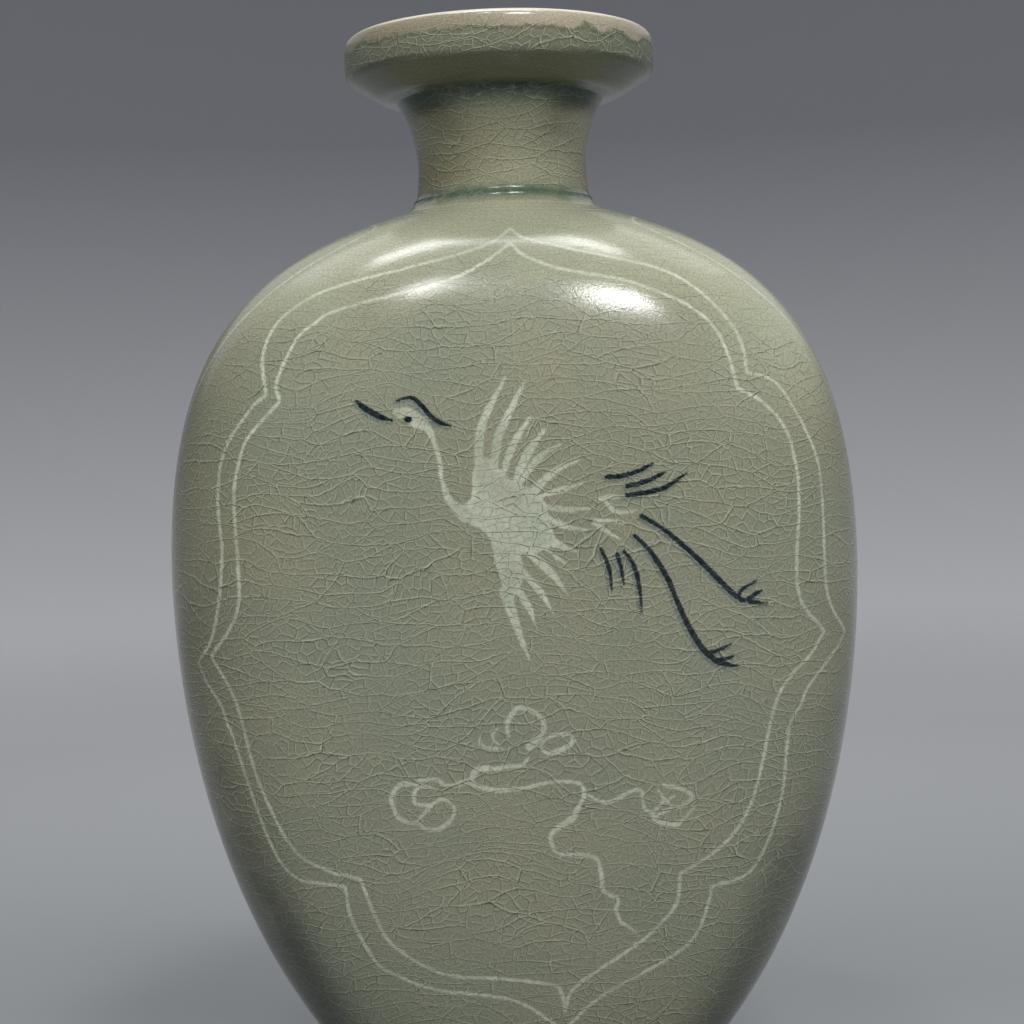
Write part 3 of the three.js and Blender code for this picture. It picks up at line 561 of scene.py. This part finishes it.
def body_piece(material):
    """The hollow body: outside, seat, bore and cavity in one closed skin."""
    outer = [section_ring(*s) for s in body_sections(LOWER_ROWS, UPPER_ROWS)]
    ceiling = SHOULDER_HEIGHT - WALL
    floor = FOOT_HEIGHT + FLOOR
    squeeze = (ceiling - floor) / (SHOULDER_HEIGHT - FOOT_HEIGHT)
    inner = [
        section_ring(a - WALL, b - WALL, n, floor + (z - FOOT_HEIGHT) * squeeze)
        for a, b, n, z in body_sections(CAVITY_ROWS, CAVITY_ROWS)[:-COLLAR_ROWS - 1]
    ]
    bore = [section_ring(BORE_RADIUS, BORE_RADIUS, ROUND, z) for z in (SEAT_HEIGHT, ceiling)]
    rings = outer + bore + inner[::-1]
    points = np.vstack(rings + [[(0, 0, FOOT_HEIGHT), (0, 0, floor)]])
    below, inmost = len(points) - 2, len(points) - 1
    i = np.arange(COLUMNS)
    j = (i + 1) % COLUMNS
    last = (len(rings) - 1) * COLUMNS
    caps = np.vstack([
        np.column_stack([np.full(COLUMNS, below), j, i]),
        np.column_stack([np.full(COLUMNS, inmost), last + i, last + j]),
    ])
    made = new_object("glazed_body", points, loft(len(rings), COLUMNS), material, caps)
    set_skin(made, points, skin_place)
    normals = np.array([v.normal for v in made.data.vertices])
    shown = len(outer) * COLUMNS
    normals[:shown] = outward(points[:shown])
    set_normals(made, normals)
    return made


def turned_piece(name, outline, material, up):
    """A closed ring turned about Z from an outline that starts and ends on flat hidden seats, with the
    bore behind it. It lies on the skin from up onwards."""
    outline = np.asarray(outline)
    low, high = outline[0, 1], outline[-1, 1]
    bore = [(BORE_RADIUS, low)]
    if outline[-1, 0] > BORE_RADIUS:
        bore.insert(0, (BORE_RADIUS, high))
    profile = np.vstack([outline, bore])
    slope = np.gradient(outline, axis=0)
    leaning = np.vstack([np.column_stack([slope[:, 1], -slope[:, 0]]), [(-1, 0)] * len(bore)])
    leaning /= np.linalg.norm(leaning, axis=1)[:, None]
    around = np.column_stack([np.sin(ANGLES), -np.cos(ANGLES)])

    def spun(pairs):
        flat = pairs[:, None, :1] * around
        return np.concatenate([flat, np.repeat(pairs[:, None, 1:], COLUMNS, 1)], -1).reshape(-1, 3)

    points = spun(profile)
    heights = np.repeat(up + lengths_along(profile), COLUMNS)
    made = new_object(name, points, loft(len(profile), COLUMNS, looped=True), material)

    def place(p):
        return np.column_stack([np.hypot(p[:, 0], p[:, 1]) * np.arctan2(p[:, 0], -p[:, 1]), heights])

    set_skin(made, points, place)
    set_normals(made, spun(leaning))
    return made


def turned_outline(first, above_seat, last):
    """A smooth outline from first to last, through points whose heights are above the neck's seat."""
    between = [(radius, SEAT_HEIGHT + height) for radius, height in above_seat]
    return catmull([first, *between, last], step=0.35)


def neck_piece(material):
    outline = turned_outline((SEAT_RADIUS, SEAT_HEIGHT), NECK_OUTLINE, (NECK_TOP_RADIUS, MOUTH_HEIGHT))
    return turned_piece("glazed_neck", outline, material, PROFILE_UP[-1])


def mouth_piece(material):
    outline = turned_outline((NECK_TOP_RADIUS, MOUTH_HEIGHT), MOUTH_OUTLINE, (BORE_RADIUS, MOUTH_HEIGHT))
    return turned_piece("glazed_mouth", outline, material, PROFILE_UP[-1] + NECK_LENGTH)


def foot_piece(material):
    """The foot ring, whose outside runs up on to the body in a cove and ends just under its skin."""
    a, b, n = section_at(COVE_TOP)
    proud = 0.02
    under = 2.2
    rows = [(a + proud, b + proud, n, COVE_TOP)]
    for out, height in FOOT_OUTLINE:
        rows.append((FOOT_TOP[0] + out, FOOT_TOP[1] + out, FOOT_SQUARENESS, height))
    fine = np.vstack([catmull(rows), [(a - under, b - under, n, COVE_TOP - 0.4)]])[::-1]
    fine[:, 3] = np.maximum(fine[:, 3], 0)
    points = np.vstack([section_ring(*s) for s in fine])
    made = new_object("glazed_foot_ring", points, loft(len(fine), COLUMNS, looped=True), material)
    up = np.repeat(lengths_along(fine[:, [1, 3]]), COLUMNS) + FOOT_SHIFT
    set_skin(made, points, lambda p: np.column_stack([skin_place(p)[:, 0], up]))
    return made


def without_pinches(kept):
    """Fills cells until no two of them meet at a corner alone."""
    while True:
        a, b = kept[:-1, :-1], kept[:-1, 1:]
        c, d = kept[1:, :-1], kept[1:, 1:]
        pinched = (a & d & ~b & ~c) | (b & c & ~a & ~d)
        if not pinched.any():
            return kept
        kept = kept.copy()
        rows, columns = np.nonzero(pinched)
        for i in (0, 1):
            for j in (0, 1):
                kept[rows + i, columns + j] = True


def inlay_pieces(names, face, marks, fields, margin, material):
    """A thin closed patch of slip over some marks and a margin round them, and the same half turned."""
    gap = face.distance(marks)
    near = gap < margin
    kept = without_pinches(near[:-1, :-1] | near[:-1, 1:] | near[1:, :-1] | near[1:, 1:])
    width = face.shape[1]
    rows, columns = np.nonzero(kept)
    corner = rows * width + columns
    quads = np.column_stack([corner, corner + 1, corner + width + 1, corner + width])
    used, quads = np.unique(quads, return_inverse=True)
    quads = quads.reshape(-1, 4)
    surface, normal, gap = face.points[used], face.normals[used], gap.ravel()[used]
    fade = np.clip(gap / margin, 0, 1)[:, None]
    fade = fade * fade * (3 - 2 * fade)
    lift = PROUD - (PROUD + SUNK) * fade
    points = np.vstack([surface + normal * lift, surface - normal * INLAY_DEPTH])
    normals = np.vstack([normal, -normal])
    count = len(used)
    edges = np.vstack([np.roll(quads, -i, 1)[:, :2] for i in range(4)])
    keys = edges.min(1) * count + edges.max(1)
    _, first, times = np.unique(keys, return_index=True, return_counts=True)
    rim = edges[first[times == 1]]
    walls = np.column_stack([rim[:, ::-1], rim + count])
    faces = np.vstack([quads, quads[:, ::-1] + count, walls])
    made = []
    for name, turn in zip(names, (lambda p: p, half_turned)):
        piece = new_object(name, turn(points), faces, material)
        set_skin(piece, turn(points), skin_place)
        for key, field in fields.items():
            layer = piece.data.attributes.new(key, "FLOAT", "POINT")
            layer.data.foreach_set("value", np.tile(field.ravel()[used], 2).astype(np.float32))
        set_normals(piece, turn(normals))
        made.append(piece)
    return made


# Materials


def srgb(red, green, blue):
    """A colour of 0 to 255 as linear values."""
    def linear(value):
        value /= 255
        return value / 12.92 if value <= 0.04045 else ((value + 0.055) / 1.055) ** 2.4
    return (linear(red), linear(green), linear(blue), 1)


class Tree:
    """Short calls that add nodes to a node tree and return their output sockets."""

    def __init__(self, tree):
        self.tree = tree

    def add(self, kind, inputs=(), output=0, **settings):
        made = self.tree.nodes.new(kind)
        for key, value in settings.items():
            setattr(made, key, value)
        for key, value in dict(inputs).items():
            self.put(made.inputs[key], value)
        return made.outputs[output]

    def put(self, socket, value):
        if isinstance(value, bpy.types.NodeSocket):
            self.tree.links.new(value, socket)
        else:
            socket.default_value = value

    def math(self, operation, *values):
        return self.add("ShaderNodeMath", enumerate(values), operation=operation)

    def plus(self, first, second):
        return self.math("ADD", first, second)

    def times(self, first, *others):
        for other in others:
            first = self.math("MULTIPLY", first, other)
        return first

    def vector(self, operation, *values, output=0):
        return self.add("ShaderNodeVectorMath", enumerate(values), output, operation=operation)

    def scale(self, vector, factor):
        return self.add("ShaderNodeVectorMath", {0: vector, "Scale": factor}, operation="SCALE")

    def parts(self, vector):
        """The X, Y and Z of a vector."""
        return self.add("ShaderNodeSeparateXYZ", {0: vector}).node.outputs

    def ramp(self, value, start, end, low=0.0, high=1.0):
        """A smooth step from low at start to high at end."""
        return self.add("ShaderNodeMapRange", {
            "Value": value, "From Min": start, "From Max": end, "To Min": low, "To Max": high,
        }, interpolation_type="SMOOTHSTEP")

    def even(self, value, start, end):
        """A straight slope from 0 at start to 1 at end."""
        return self.add("ShaderNodeMapRange", {"Value": value, "From Min": start, "From Max": end})

    def bump_at(self, value, centre, width):
        """1 at the centre, and 0 further than width from it."""
        return self.ramp(self.math("ABSOLUTE", self.math("SUBTRACT", value, centre)), width, 0)

    def mix(self, share, first, second, blend="MIX"):
        return self.add("ShaderNodeMix", {0: share, 6: first, 7: second}, 2,
                        data_type="RGBA", blend_type=blend, clamp_factor=True)

    def noise(self, vector, size, detail=2.0, output=0, rough=0.5):
        """Noise whose lumps are about size millimetres across."""
        return self.add("ShaderNodeTexNoise", {
            "Vector": vector, "Scale": 1 / size, "Detail": detail, "Roughness": rough,
        }, output, noise_dimensions="3D")

    def swing(self, vector, size, factor, detail=2.0, rough=0.5):
        """Noise less a half, times a factor."""
        return self.times(self.math("SUBTRACT", self.noise(vector, size, detail, rough=rough), 0.5), factor)

    def drift(self, vector, size, factor):
        """A slow shift in all three directions."""
        colour = self.noise(vector, size, 1, output=1)
        return self.scale(self.vector("SUBTRACT", colour, (0.5, 0.5, 0.5)), factor)

    def voronoi(self, vector, feature):
        return self.add("ShaderNodeTexVoronoi", {"Vector": vector, "Scale": 1.0},
                        voronoi_dimensions="2D", feature=feature).node.outputs


def group(name, inputs, outputs):
    made = bpy.data.node_groups.new(name, "ShaderNodeTree")
    for direction, sockets in (("INPUT", inputs), ("OUTPUT", outputs)):
        for key, kind in sockets:
            made.interface.new_socket(key, in_out=direction, socket_type=kind)
    entry = made.nodes.new("NodeGroupInput")
    leave = made.nodes.new("NodeGroupOutput")
    return made, Tree(made), entry.outputs, leave.inputs


# The crackle: the width of a crack's lines, a pale painted highlight and a dark line that is partly the
# crack and partly painted shade, its two sizes of cell, each with its strength, and the direction on the
# skin in which the painted highlight lies
CRACK = 0.15
CELLS = (((13, 3.4), 1.0), ((2.5, 1.75), 0.85))
CRACK_HIGHLIGHT_SIDE = (0.35, 1, 0)


def crackle_group():
    """The crackle at a place on the skin: above 0 on the upper edge of a crack, where a painted highlight
    goes, below 0 on its lower edge, where the crack's dark line and its painted shade go, and 0 elsewhere.
    Each size of cell is divided into the next one."""
    made, t, entry, leave = group(
        "crackle", [("Place", "NodeSocketVector")], [("Ridge", "NodeSocketFloat")])
    place = entry["Place"]
    shifts = t.vector("ADD", t.drift(place, 24, 13.0), t.drift(place, 2.4, 0.75))
    place = t.vector("ADD", place, shifts)
    faint = t.ramp(t.noise(place, 4, 1), 0.3, 0.55, 0.45, 1.0)
    # What g * exp(-g * g) is multiplied by to reach 1
    full = 2.33
    shift = (0, 0, 0)
    total = 0.0
    for cell, strength in CELLS:
        stretch = (1 / cell[0], 1 / cell[1], 0)
        scaled = t.vector("ADD", t.vector("MULTIPLY", place, stretch), shift)
        nearest = t.voronoi(scaled, "F1")
        second = t.voronoi(scaled, "F2")
        apart = t.vector("SUBTRACT", nearest["Position"], second["Position"])
        slope = t.vector("MULTIPLY", apart, stretch)
        steep = t.vector("LENGTH", slope, output=1)
        squares = t.math("SUBTRACT", t.math("POWER", second["Distance"], 2.0),
                         t.math("POWER", nearest["Distance"], 2.0))
        gap = t.math("DIVIDE", squares, t.times(steep, 2.0 * CRACK))
        bell = t.math("EXPONENT", t.times(gap, gap, -1.0))
        side = t.math("SIGN", t.vector("DOT_PRODUCT", slope, CRACK_HIGHLIGHT_SIDE, output=1))
        signed = t.times(gap, bell, full * strength, side)
        if strength < 1:
            signed = t.times(signed, faint)
        total = t.plus(total, signed)
        shift = t.scale(nearest["Color"], 40.0)
    t.put(leave["Ridge"], total)
    return made


# How far a place is from white slip, from black slip, and from the black slip's shade
SLIP_FIELDS = ("White", "Black", "Shade")


def celadon_group(crackle):
    """Colour and surface of the glaze, with the slip that shows through it."""
    made, t, entry, leave = group(
        "celadon",
        [(key, "NodeSocketFloat") for key in SLIP_FIELDS],
        [("Color", "NodeSocketColor"), ("Roughness", "NodeSocketFloat"), ("Normal", "NodeSocketVector")],
    )
    skin = t.add("ShaderNodeAttribute", output=1, attribute_name="skin")
    spot = t.scale(t.add("ShaderNodeTexCoord", output=3), 1 / MM)
    x, y, z = t.parts(spot)
    radius = t.math("SQRT", t.plus(t.times(x, x), t.times(y, y)))

    # Slow drifts of a cooler and a warmer tone
    cool = t.ramp(t.noise(t.vector("ADD", spot, (90, 0, 40)), 19, 3), 0.5, 0.72)
    rosy = t.ramp(t.noise(t.vector("ADD", spot, (0, 70, 20)), 12), 0.56, 0.74)

    # Painted light and shade by which way the body faces: paler where it faces up, partly thinner glaze and
    # partly a painted highlight, and painted shade where it faces down towards the narrow sides. Painted
    # shade with an olive tint all down the left side, and a painted highlight high on the right one.
    facing = t.parts(t.add("ShaderNodeTexCoord", output=1))
    sideways = t.math("ABSOLUTE", facing[0])
    up = facing[2]
    run = t.plus(up, t.swing(spot, 11, 0.3))
    thin_glaze_and_top_light = t.times(t.ramp(run, 0.3, 0.75), t.ramp(z, SEAT_HEIGHT - 2, SEAT_HEIGHT - 3))
    painted_low_side_shade = t.times(t.ramp(run, -0.15, -0.42), t.ramp(sideways, 0.28, 0.62), t.ramp(x, 15, 50, 0.9, 0.6))
    left_side_shade_and_olive = t.ramp(x, -42, -74)
    painted_right_shoulder_light = t.times(t.ramp(x, 34, 64), t.ramp(z, 145, 170))

    # Painted shade under the dish, thick glaze on the dish's wall, and thin glaze on the neck
    wander = t.swing(spot, 7, 1.6)
    height = t.plus(z, wander)
    under_dish = t.times(
        t.ramp(z, MOUTH_HEIGHT - 0.5, MOUTH_HEIGHT + 1),
        t.ramp(z, MOUTH_HEIGHT + 5.5, MOUTH_HEIGHT + 4.5),
        t.ramp(radius, 22.5, 24),
    )
    dish_wall = t.times(
        t.ramp(height, RIM_HEIGHT - 2, RIM_HEIGHT - 7),
        t.ramp(z, MOUTH_HEIGHT + 4, MOUTH_HEIGHT + 5),
        t.ramp(radius, 29, 31),
    )
    neck = t.times(t.ramp(z, SEAT_HEIGHT, SEAT_HEIGHT + 4), t.ramp(z, MOUTH_HEIGHT - 2, MOUTH_HEIGHT - 7))
    warm_neck = t.times(neck, t.ramp(t.noise(spot, 12), 0.3, 0.7, 0.3, 0.75))
    # Painted shade down the neck's left side, with a browner tint
    left_neck_shade_and_brown = t.times(neck, t.ramp(x, 4, -18))

    # Pooled glaze in the corners above and below the neck, and over the foot. The pool above the neck, in
    # the recess under the dish, is partly painted shade.
    clotted = t.ramp(t.noise(spot, 2.5, 3, rough=0.7), 0.3, 0.6, 0.55, 1.0)
    base_pool = t.times(t.bump_at(height, SEAT_HEIGHT - 0.1, 2.4), t.ramp(radius, 23, 21), clotted)
    top_pool_and_shade = t.times(t.ramp(height, MOUTH_HEIGHT - 5, MOUTH_HEIGHT), t.ramp(radius, 27.5, 22.5), clotted)
    foot_pool = t.bump_at(height, FOOT_HEIGHT - 0.5, 4.5)

    # Thin glaze on the lip, which ends in a scalloped line of thicker drops
    lip_height = t.plus(z, t.swing(spot, 5, 4.5))
    lip = t.times(t.ramp(lip_height, RIM_HEIGHT - 4.1, RIM_HEIGHT - 3.3), t.ramp(radius, 28.5, 30))
    # A painted highlight on the right part of the lip
    painted_light_right_lip = t.times(lip, t.ramp(x, -10, 12))
    drops = t.times(t.bump_at(lip_height, RIM_HEIGHT - 4.4, 0.8), t.ramp(radius, 33, 33.6))

    # Colours of the glaze, and of the painted light and shade, over a grey green: where each lies, its
    # greatest strength, and the colour
    color = t.mix(t.ramp(t.noise(spot, 34), 0.35, 0.65), srgb(128, 132, 113), srgb(136, 136, 115))
    for share, most, colour in (
        (cool, 0.35, (116, 127, 110)),
        (rosy, 0.25, (142, 134, 113)),
        (thin_glaze_and_top_light, 0.3, (182, 184, 158)),
        (painted_low_side_shade, 1.0, (54, 60, 48)),
        (left_side_shade_and_olive, 0.55, (104, 102, 80)),
        (painted_right_shoulder_light, 0.4, (188, 190, 164)),
        (under_dish, 0.75, (88, 91, 70)),
        (dish_wall, 0.62, (92, 97, 78)),
        (warm_neck, 1.0, (152, 149, 122)),
        (left_neck_shade_and_brown, 0.5, (98, 95, 66)),
        (base_pool, 0.9, (60, 82, 68)),
        (top_pool_and_shade, 0.92, (44, 66, 50)),
        (foot_pool, 0.5, (84, 106, 88)),
        (lip, 0.8, (146, 136, 116)),
        (painted_light_right_lip, 0.6, (176, 166, 146)),
        (drops, 0.5, (70, 76, 56)),
    ):
        color = t.mix(t.times(share, most), color, srgb(*colour))

    # Fine grain
    grain = t.ramp(t.noise(skin, 0.5, rough=0.7), 0.2, 0.8, 0.76, 1.24)
    grey = t.add("ShaderNodeCombineXYZ", {i: grain for i in range(3)})
    color = t.mix(1.0, color, grey, "MULTIPLY")

    # White slip, of uneven thickness and grainy at its edges, where it is palest
    white_gap = entry["White"]
    ragged = t.plus(t.swing(skin, 0.5, 1.0, rough=0.65), t.swing(skin, 1.9, 0.5, detail=1))
    white = t.ramp(t.plus(white_gap, t.times(ragged, 1.1)), 0.1, -0.3)
    thickness = t.times(
        t.ramp(t.noise(skin, 0.9, 3, rough=0.7), 0.3, 0.66, 0.5, 1.0),
        t.ramp(t.noise(skin, 8, 1), 0.3, 0.6, 0.6, 1.0),
        t.ramp(white_gap, -1.6, -0.5, 0.8, 1.0),
    )
    slip = t.mix(t.ramp(t.noise(skin, 9, 1), 0.4, 0.7), srgb(194, 198, 180), srgb(180, 188, 168))
    color = t.mix(t.times(white, thickness), color, slip)

    # Black slip over a blurred shade that lies lower and to the left, deeper in the glaze
    shade = t.plus(entry["Shade"], t.times(ragged, 0.7))
    color = t.mix(t.ramp(shade, 0.9, -0.3, 0, 0.6), color, srgb(84, 98, 98))
    black = t.ramp(t.plus(entry["Black"], t.times(ragged, 0.55)), 0.2, -0.14)
    ink = t.mix(t.ramp(t.noise(skin, 1.3), 0.35, 0.7), srgb(6, 18, 24), srgb(22, 38, 44))
    color = t.mix(t.times(black, 0.97), color, ink)

    # Crackle, drawn as ridges lit from above: a painted highlight along each crack's upper edge, and a dark
    # line along its lower edge that is partly the crack and partly painted shade. It is fainter on the
    # shoulder, in the painted shade low on the narrow sides, in pooled glaze, under the dish, on the lip and
    # over black slip. Its painted highlights fade where the body faces up.
    ridge = t.add("ShaderNodeGroup", {"Place": skin}, node_tree=crackle)
    patchy = t.ramp(t.noise(spot, 15), 0.3, 0.65, 0.42, 0.66)
    for share, loss in (
        (thin_glaze_and_top_light, 0.6), (painted_low_side_shade, 0.7), (under_dish, 0.85), (lip, 0.6), (top_pool_and_shade, 0.6), (base_pool, 0.7),
        (black, 0.8),
    ):
        patchy = t.times(patchy, t.ramp(share, 0, 1, 1.0, 1.0 - loss))
    crack_painted_highlight = t.times(t.math("MAXIMUM", ridge, 0.0), patchy, t.ramp(up, 0.0, 0.4, 1.0, 0.4))
    crack_line_and_shade = t.times(t.math("MAXIMUM", t.times(ridge, -1.0), 0.0), patchy)
    color = t.mix(crack_line_and_shade, color, srgb(60, 65, 51))
    color = t.mix(crack_painted_highlight, color, srgb(174, 178, 156))

    # The lip's thin pale edge
    edge = t.ramp(t.plus(z, t.times(wander, 0.25)), RIM_HEIGHT - 1, RIM_HEIGHT - 0.2)
    color = t.mix(t.times(edge, 0.9), color, srgb(204, 200, 188))

    # Bare clay under the foot
    bare = t.ramp(t.plus(z, t.times(wander, 0.5)), 1.5, 1.0)
    clay = t.mix(t.ramp(t.noise(spot, 3, 3), 0.35, 0.65), srgb(150, 118, 92), srgb(178, 150, 122))
    color = t.mix(bare, color, clay)
    t.put(leave["Color"], color)

    gloss = t.ramp(t.noise(skin, 1.2), 0.25, 0.75, 0.13, 0.21)
    t.put(leave["Roughness"], t.plus(gloss, t.times(bare, 0.5)))

    # Relief in millimetres: crackle, orange peel, a slow unevenness and two turned lines on the shoulder
    relief = t.times(ridge, 0.002)
    relief = t.plus(relief, t.times(t.noise(skin, 0.6), 0.018))
    relief = t.plus(relief, t.times(t.noise(spot, 22, 1), 0.12))
    for below_shoulder in (1.9, 1.1):
        line = t.bump_at(z, SHOULDER_HEIGHT - below_shoulder, 0.3)
        relief = t.math("SUBTRACT", relief, t.times(line, 0.06))
    bumpy = t.add("ShaderNodeBump", {"Strength": 1.0, "Distance": MM, "Height": relief})
    t.put(leave["Normal"], bumpy)
    return made


def new_material(name):
    """A material with its tree and the inputs of its shader."""
    material = bpy.data.materials.new(name)
    material.use_nodes = True
    return material, Tree(material.node_tree), material.node_tree.nodes["Principled BSDF"].inputs


def celadon(name, glaze, inlaid):
    """The glaze over plain clay, or over slip whose distances are on the mesh."""
    material, t, shader = new_material(name)
    distances = {key: FAR for key in SLIP_FIELDS}
    if inlaid:
        for key in SLIP_FIELDS:
            distances[key] = t.add("ShaderNodeAttribute", output=2, attribute_name=key.lower())
    surface = t.add("ShaderNodeGroup", distances, node_tree=glaze).node.outputs
    t.put(shader["Base Color"], surface["Color"])
    t.put(shader["Roughness"], surface["Roughness"])
    t.put(shader["Normal"], surface["Normal"])
    shader["IOR"].default_value = 1.5
    return material


def surround_material():
    """Matt greys with painted light and shade: a pale floor, painted paler further back, and a wall painted
    darker upwards. The part of the sweep in front of the vase is painted darker, as an unlit room is."""
    material, t, shader = new_material("backdrop_grey")
    _, y, z = t.parts(t.add("ShaderNodeTexCoord", output=3))
    floor = t.mix(t.even(y, 0.12, 0.86), srgb(139, 142, 145), srgb(191, 193, 197))
    wall = t.mix(t.even(z, 0.05, 0.45), srgb(206, 208, 212), srgb(138, 140, 146))
    behind = t.mix(t.ramp(z, 0.0, 0.06), floor, wall)
    front = t.mix(t.ramp(z, 0.0, 0.3), srgb(118, 120, 124), srgb(74, 76, 80))
    t.put(shader["Base Color"], t.mix(t.ramp(y, 0.1, -0.5), behind, front))
    shader["Roughness"].default_value = 0.9
    shader["Specular IOR Level"].default_value = 0.1
    return material


# The vase

glaze_group = celadon_group(crackle_group())
GLAZE = celadon("celadon_glaze", glaze_group, inlaid=False)
WHITE_SLIP = celadon("white_slip", glaze_group, inlaid=True)
BLACK_SLIP = celadon("black_slip", glaze_group, inlaid=True)

for node, build in (
    ("body", body_piece), ("neck", neck_piece), ("mouth", mouth_piece), ("foot_ring", foot_piece),
):
    piece = build(GLAZE)
    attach(piece, "root")
    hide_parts(node)

# The grids over a broad face and a narrow side: their step, how far they reach to both sides of the
# middle, and their lowest and highest places
GRID_STEP = 0.3
FRONT_REACH = 71
FRONT_HEIGHTS = (25, 197)
SIDE_REACH = 31
SIDE_HEIGHTS = (38, 200.5)
FRONT = Face(front_surface, SECTIONS[:, [1, 3]], FRONT_REACH, FRONT_HEIGHTS, GRID_STEP)
RIGHT = Face(right_surface, SECTIONS[:, [0, 3]], SIDE_REACH, SIDE_HEIGHTS, GRID_STEP)

# How far a patch reaches past its slip, and how many grid steps lower and further left a shade lies
WHITE_MARGIN = 0.7
BLACK_MARGIN = 1.3
SHADE_SHIFT = (-2, -2)


def inlays(sides, face, white, black):
    """Makes every slip piece of a face, and the same again on the opposite face."""
    fields = {
        "white": face.distance([mark for marks in white.values() for mark in marks]),
        "black": face.distance([mark for marks in black.values() for mark in marks]),
    }
    fields["shade"] = np.roll(fields["black"], SHADE_SHIFT, (0, 1))
    for kind, groups, material, margin in (
        ("white_slip", white, WHITE_SLIP, WHITE_MARGIN), ("black_slip", black, BLACK_SLIP, BLACK_MARGIN),
    ):
        for name, marks in groups.items():
            names = [f"slip_{side}_{name}" for side in sides]
            for side, piece in zip(sides, inlay_pieces(names, face, marks, fields, margin, material)):
                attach(piece, "root")
                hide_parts(f"{side}_{name}")


inlays(
    ("front", "back"),
    FRONT,
    {
        "frame_outer": [even_line(closed_frame(OUTER_FRAME), FRAME_WIDTH)],
        "frame_inner": [even_line(closed_frame(INNER_FRAME), FRAME_WIDTH)],
        **WHITE_MARKS,
    },
    BLACK_MARKS,
)
side_line = catmull(SIDE_FRAME, closed=True)
inlays(
    ("right", "left"),
    RIGHT,
    {"side_line": [even_line(np.vstack([side_line, side_line[:1]]), SIDE_WIDTH)]},
    {"side_dot": [stroke(SIDE_DOT, SIDE_DOT_WIDTH, SIDE_DOT_WIDTH)]},
)

# Floor and backdrop: one bowl-shaped sweep

FLOOR_RADIUS = 0.85
WALL_RADIUS = 1.5
SWEEP_TOP = 2.2
SWEEP_BEND = 0.55
SWEEP_COLUMNS = 96


def sweep():
    profile = [(r, 0.0) for r in np.linspace(0.02, FLOOR_RADIUS, 12)]
    for angle in np.linspace(0, math.pi / 2, 24)[1:]:
        profile.append((
            FLOOR_RADIUS + (WALL_RADIUS - FLOOR_RADIUS) * math.sin(angle),
            SWEEP_BEND * (1 - math.cos(angle)),
        ))
    profile += [(WALL_RADIUS, z) for z in np.linspace(SWEEP_BEND, SWEEP_TOP, 10)[1:]]
    angles = np.linspace(0, 2 * math.pi, SWEEP_COLUMNS, endpoint=False)
    points = [(r * math.cos(a), r * math.sin(a), z) for r, z in profile for a in angles]
    points.append((0, 0, 0))
    i = np.arange(SWEEP_COLUMNS)
    middle = np.column_stack([np.full(SWEEP_COLUMNS, len(points) - 1), i, (i + 1) % SWEEP_COLUMNS])
    faces = loft(len(profile), SWEEP_COLUMNS)[:, ::-1]
    new_object("backdrop", np.array(points) / MM, faces, surround_material(), middle)


sweep()

# Light

SHOULDER = (0, 0, 0.18)


def lamp(name, place, aim, size, power):
    data = bpy.data.lights.new(name, "AREA")
    data.shape = "RECTANGLE"
    data.size, data.size_y = size
    data.energy = power
    made = bpy.data.objects.new(name, data)
    back = (Vector(place) - Vector(aim)).normalized()
    overhead = abs(back.z) > 0.9
    right = Vector((0, 1, 0) if overhead else (0, 0, 1)).cross(back).normalized()
    turn = Matrix((right, back.cross(right), back)).transposed().to_4x4()
    made.matrix_world = Matrix.Translation(place) @ turn
    bpy.context.scene.collection.objects.link(made)
    return made


def towards(azimuth, elevation, far):
    """A place seen from the shoulder: azimuth 0 is in front, and grows to the right."""
    a, e = math.radians(azimuth), math.radians(elevation)
    return (
        SHOULDER[0] + far * math.cos(e) * math.sin(a),
        SHOULDER[1] - far * math.cos(e) * math.cos(a),
        SHOULDER[2] + far * math.sin(e),
    )


lamp("overhead_right", (0.12, 0.0, 1.25), (0.03, -0.02, 0), (0.34, 0.17), 2.4)
lamp("overhead_left", (-0.17, 0.04, 1.25), (-0.05, 0, 0), (0.36, 0.17), 2.4)
lamp("key_right", towards(19, 52, 1.0), SHOULDER, (0.18, 0.14), 3.0)
lamp("key_left", towards(-13, 58.5, 1.0), SHOULDER, (0.1, 0.06), 0.9)
lamp("rim_top", towards(180, 66, 1.1), SHOULDER, (1.3, 0.6), 2.6)
lamp("rim_left", towards(-145, 38, 1.1), SHOULDER, (0.8, 0.8), 0.6)
lamp("rim_right", towards(145, 38, 1.1), SHOULDER, (0.8, 0.8), 0.7)
for name, azimuth, power in (("fill_right", 25, 8.9), ("fill_left", -25, 5.7)):
    fill = lamp(name, towards(azimuth, 32, 1.3), SHOULDER, (0.9, 0.7), power)
    fill.visible_glossy = False

world = bpy.data.worlds.new("studio")
bpy.context.scene.world = world
world.use_nodes = True
room = world.node_tree.nodes["Background"].inputs
room["Color"].default_value = (0.8, 0.82, 0.86, 1)
room["Strength"].default_value = 0.08

# Camera: straight on, a little above the middle, tipped slightly as the photograph is

FOCAL_PIXELS = 2250
IMAGE_PIXELS = 1024
CAMERA_PLACE = (-0.0002, -0.5, 0.14)
CAMERA_PITCH = 0.56
CAMERA_ROLL = 1.8

camera_data = bpy.data.cameras.new("camera")
camera_data.sensor_width = 36
camera_data.lens = FOCAL_PIXELS / IMAGE_PIXELS * camera_data.sensor_width
camera_data.clip_start = 0.01
camera = bpy.data.objects.new("camera", camera_data)
camera.matrix_world = (
    Matrix.Translation(CAMERA_PLACE)
    @ Matrix.Rotation(math.radians(90 - CAMERA_PITCH), 4, "X")
    @ Matrix.Rotation(math.radians(-CAMERA_ROLL), 4, "Z")
)
bpy.context.scene.collection.objects.link(camera)
bpy.context.scene.camera = camera
bpy.context.scene.view_settings.view_transform = "Standard"
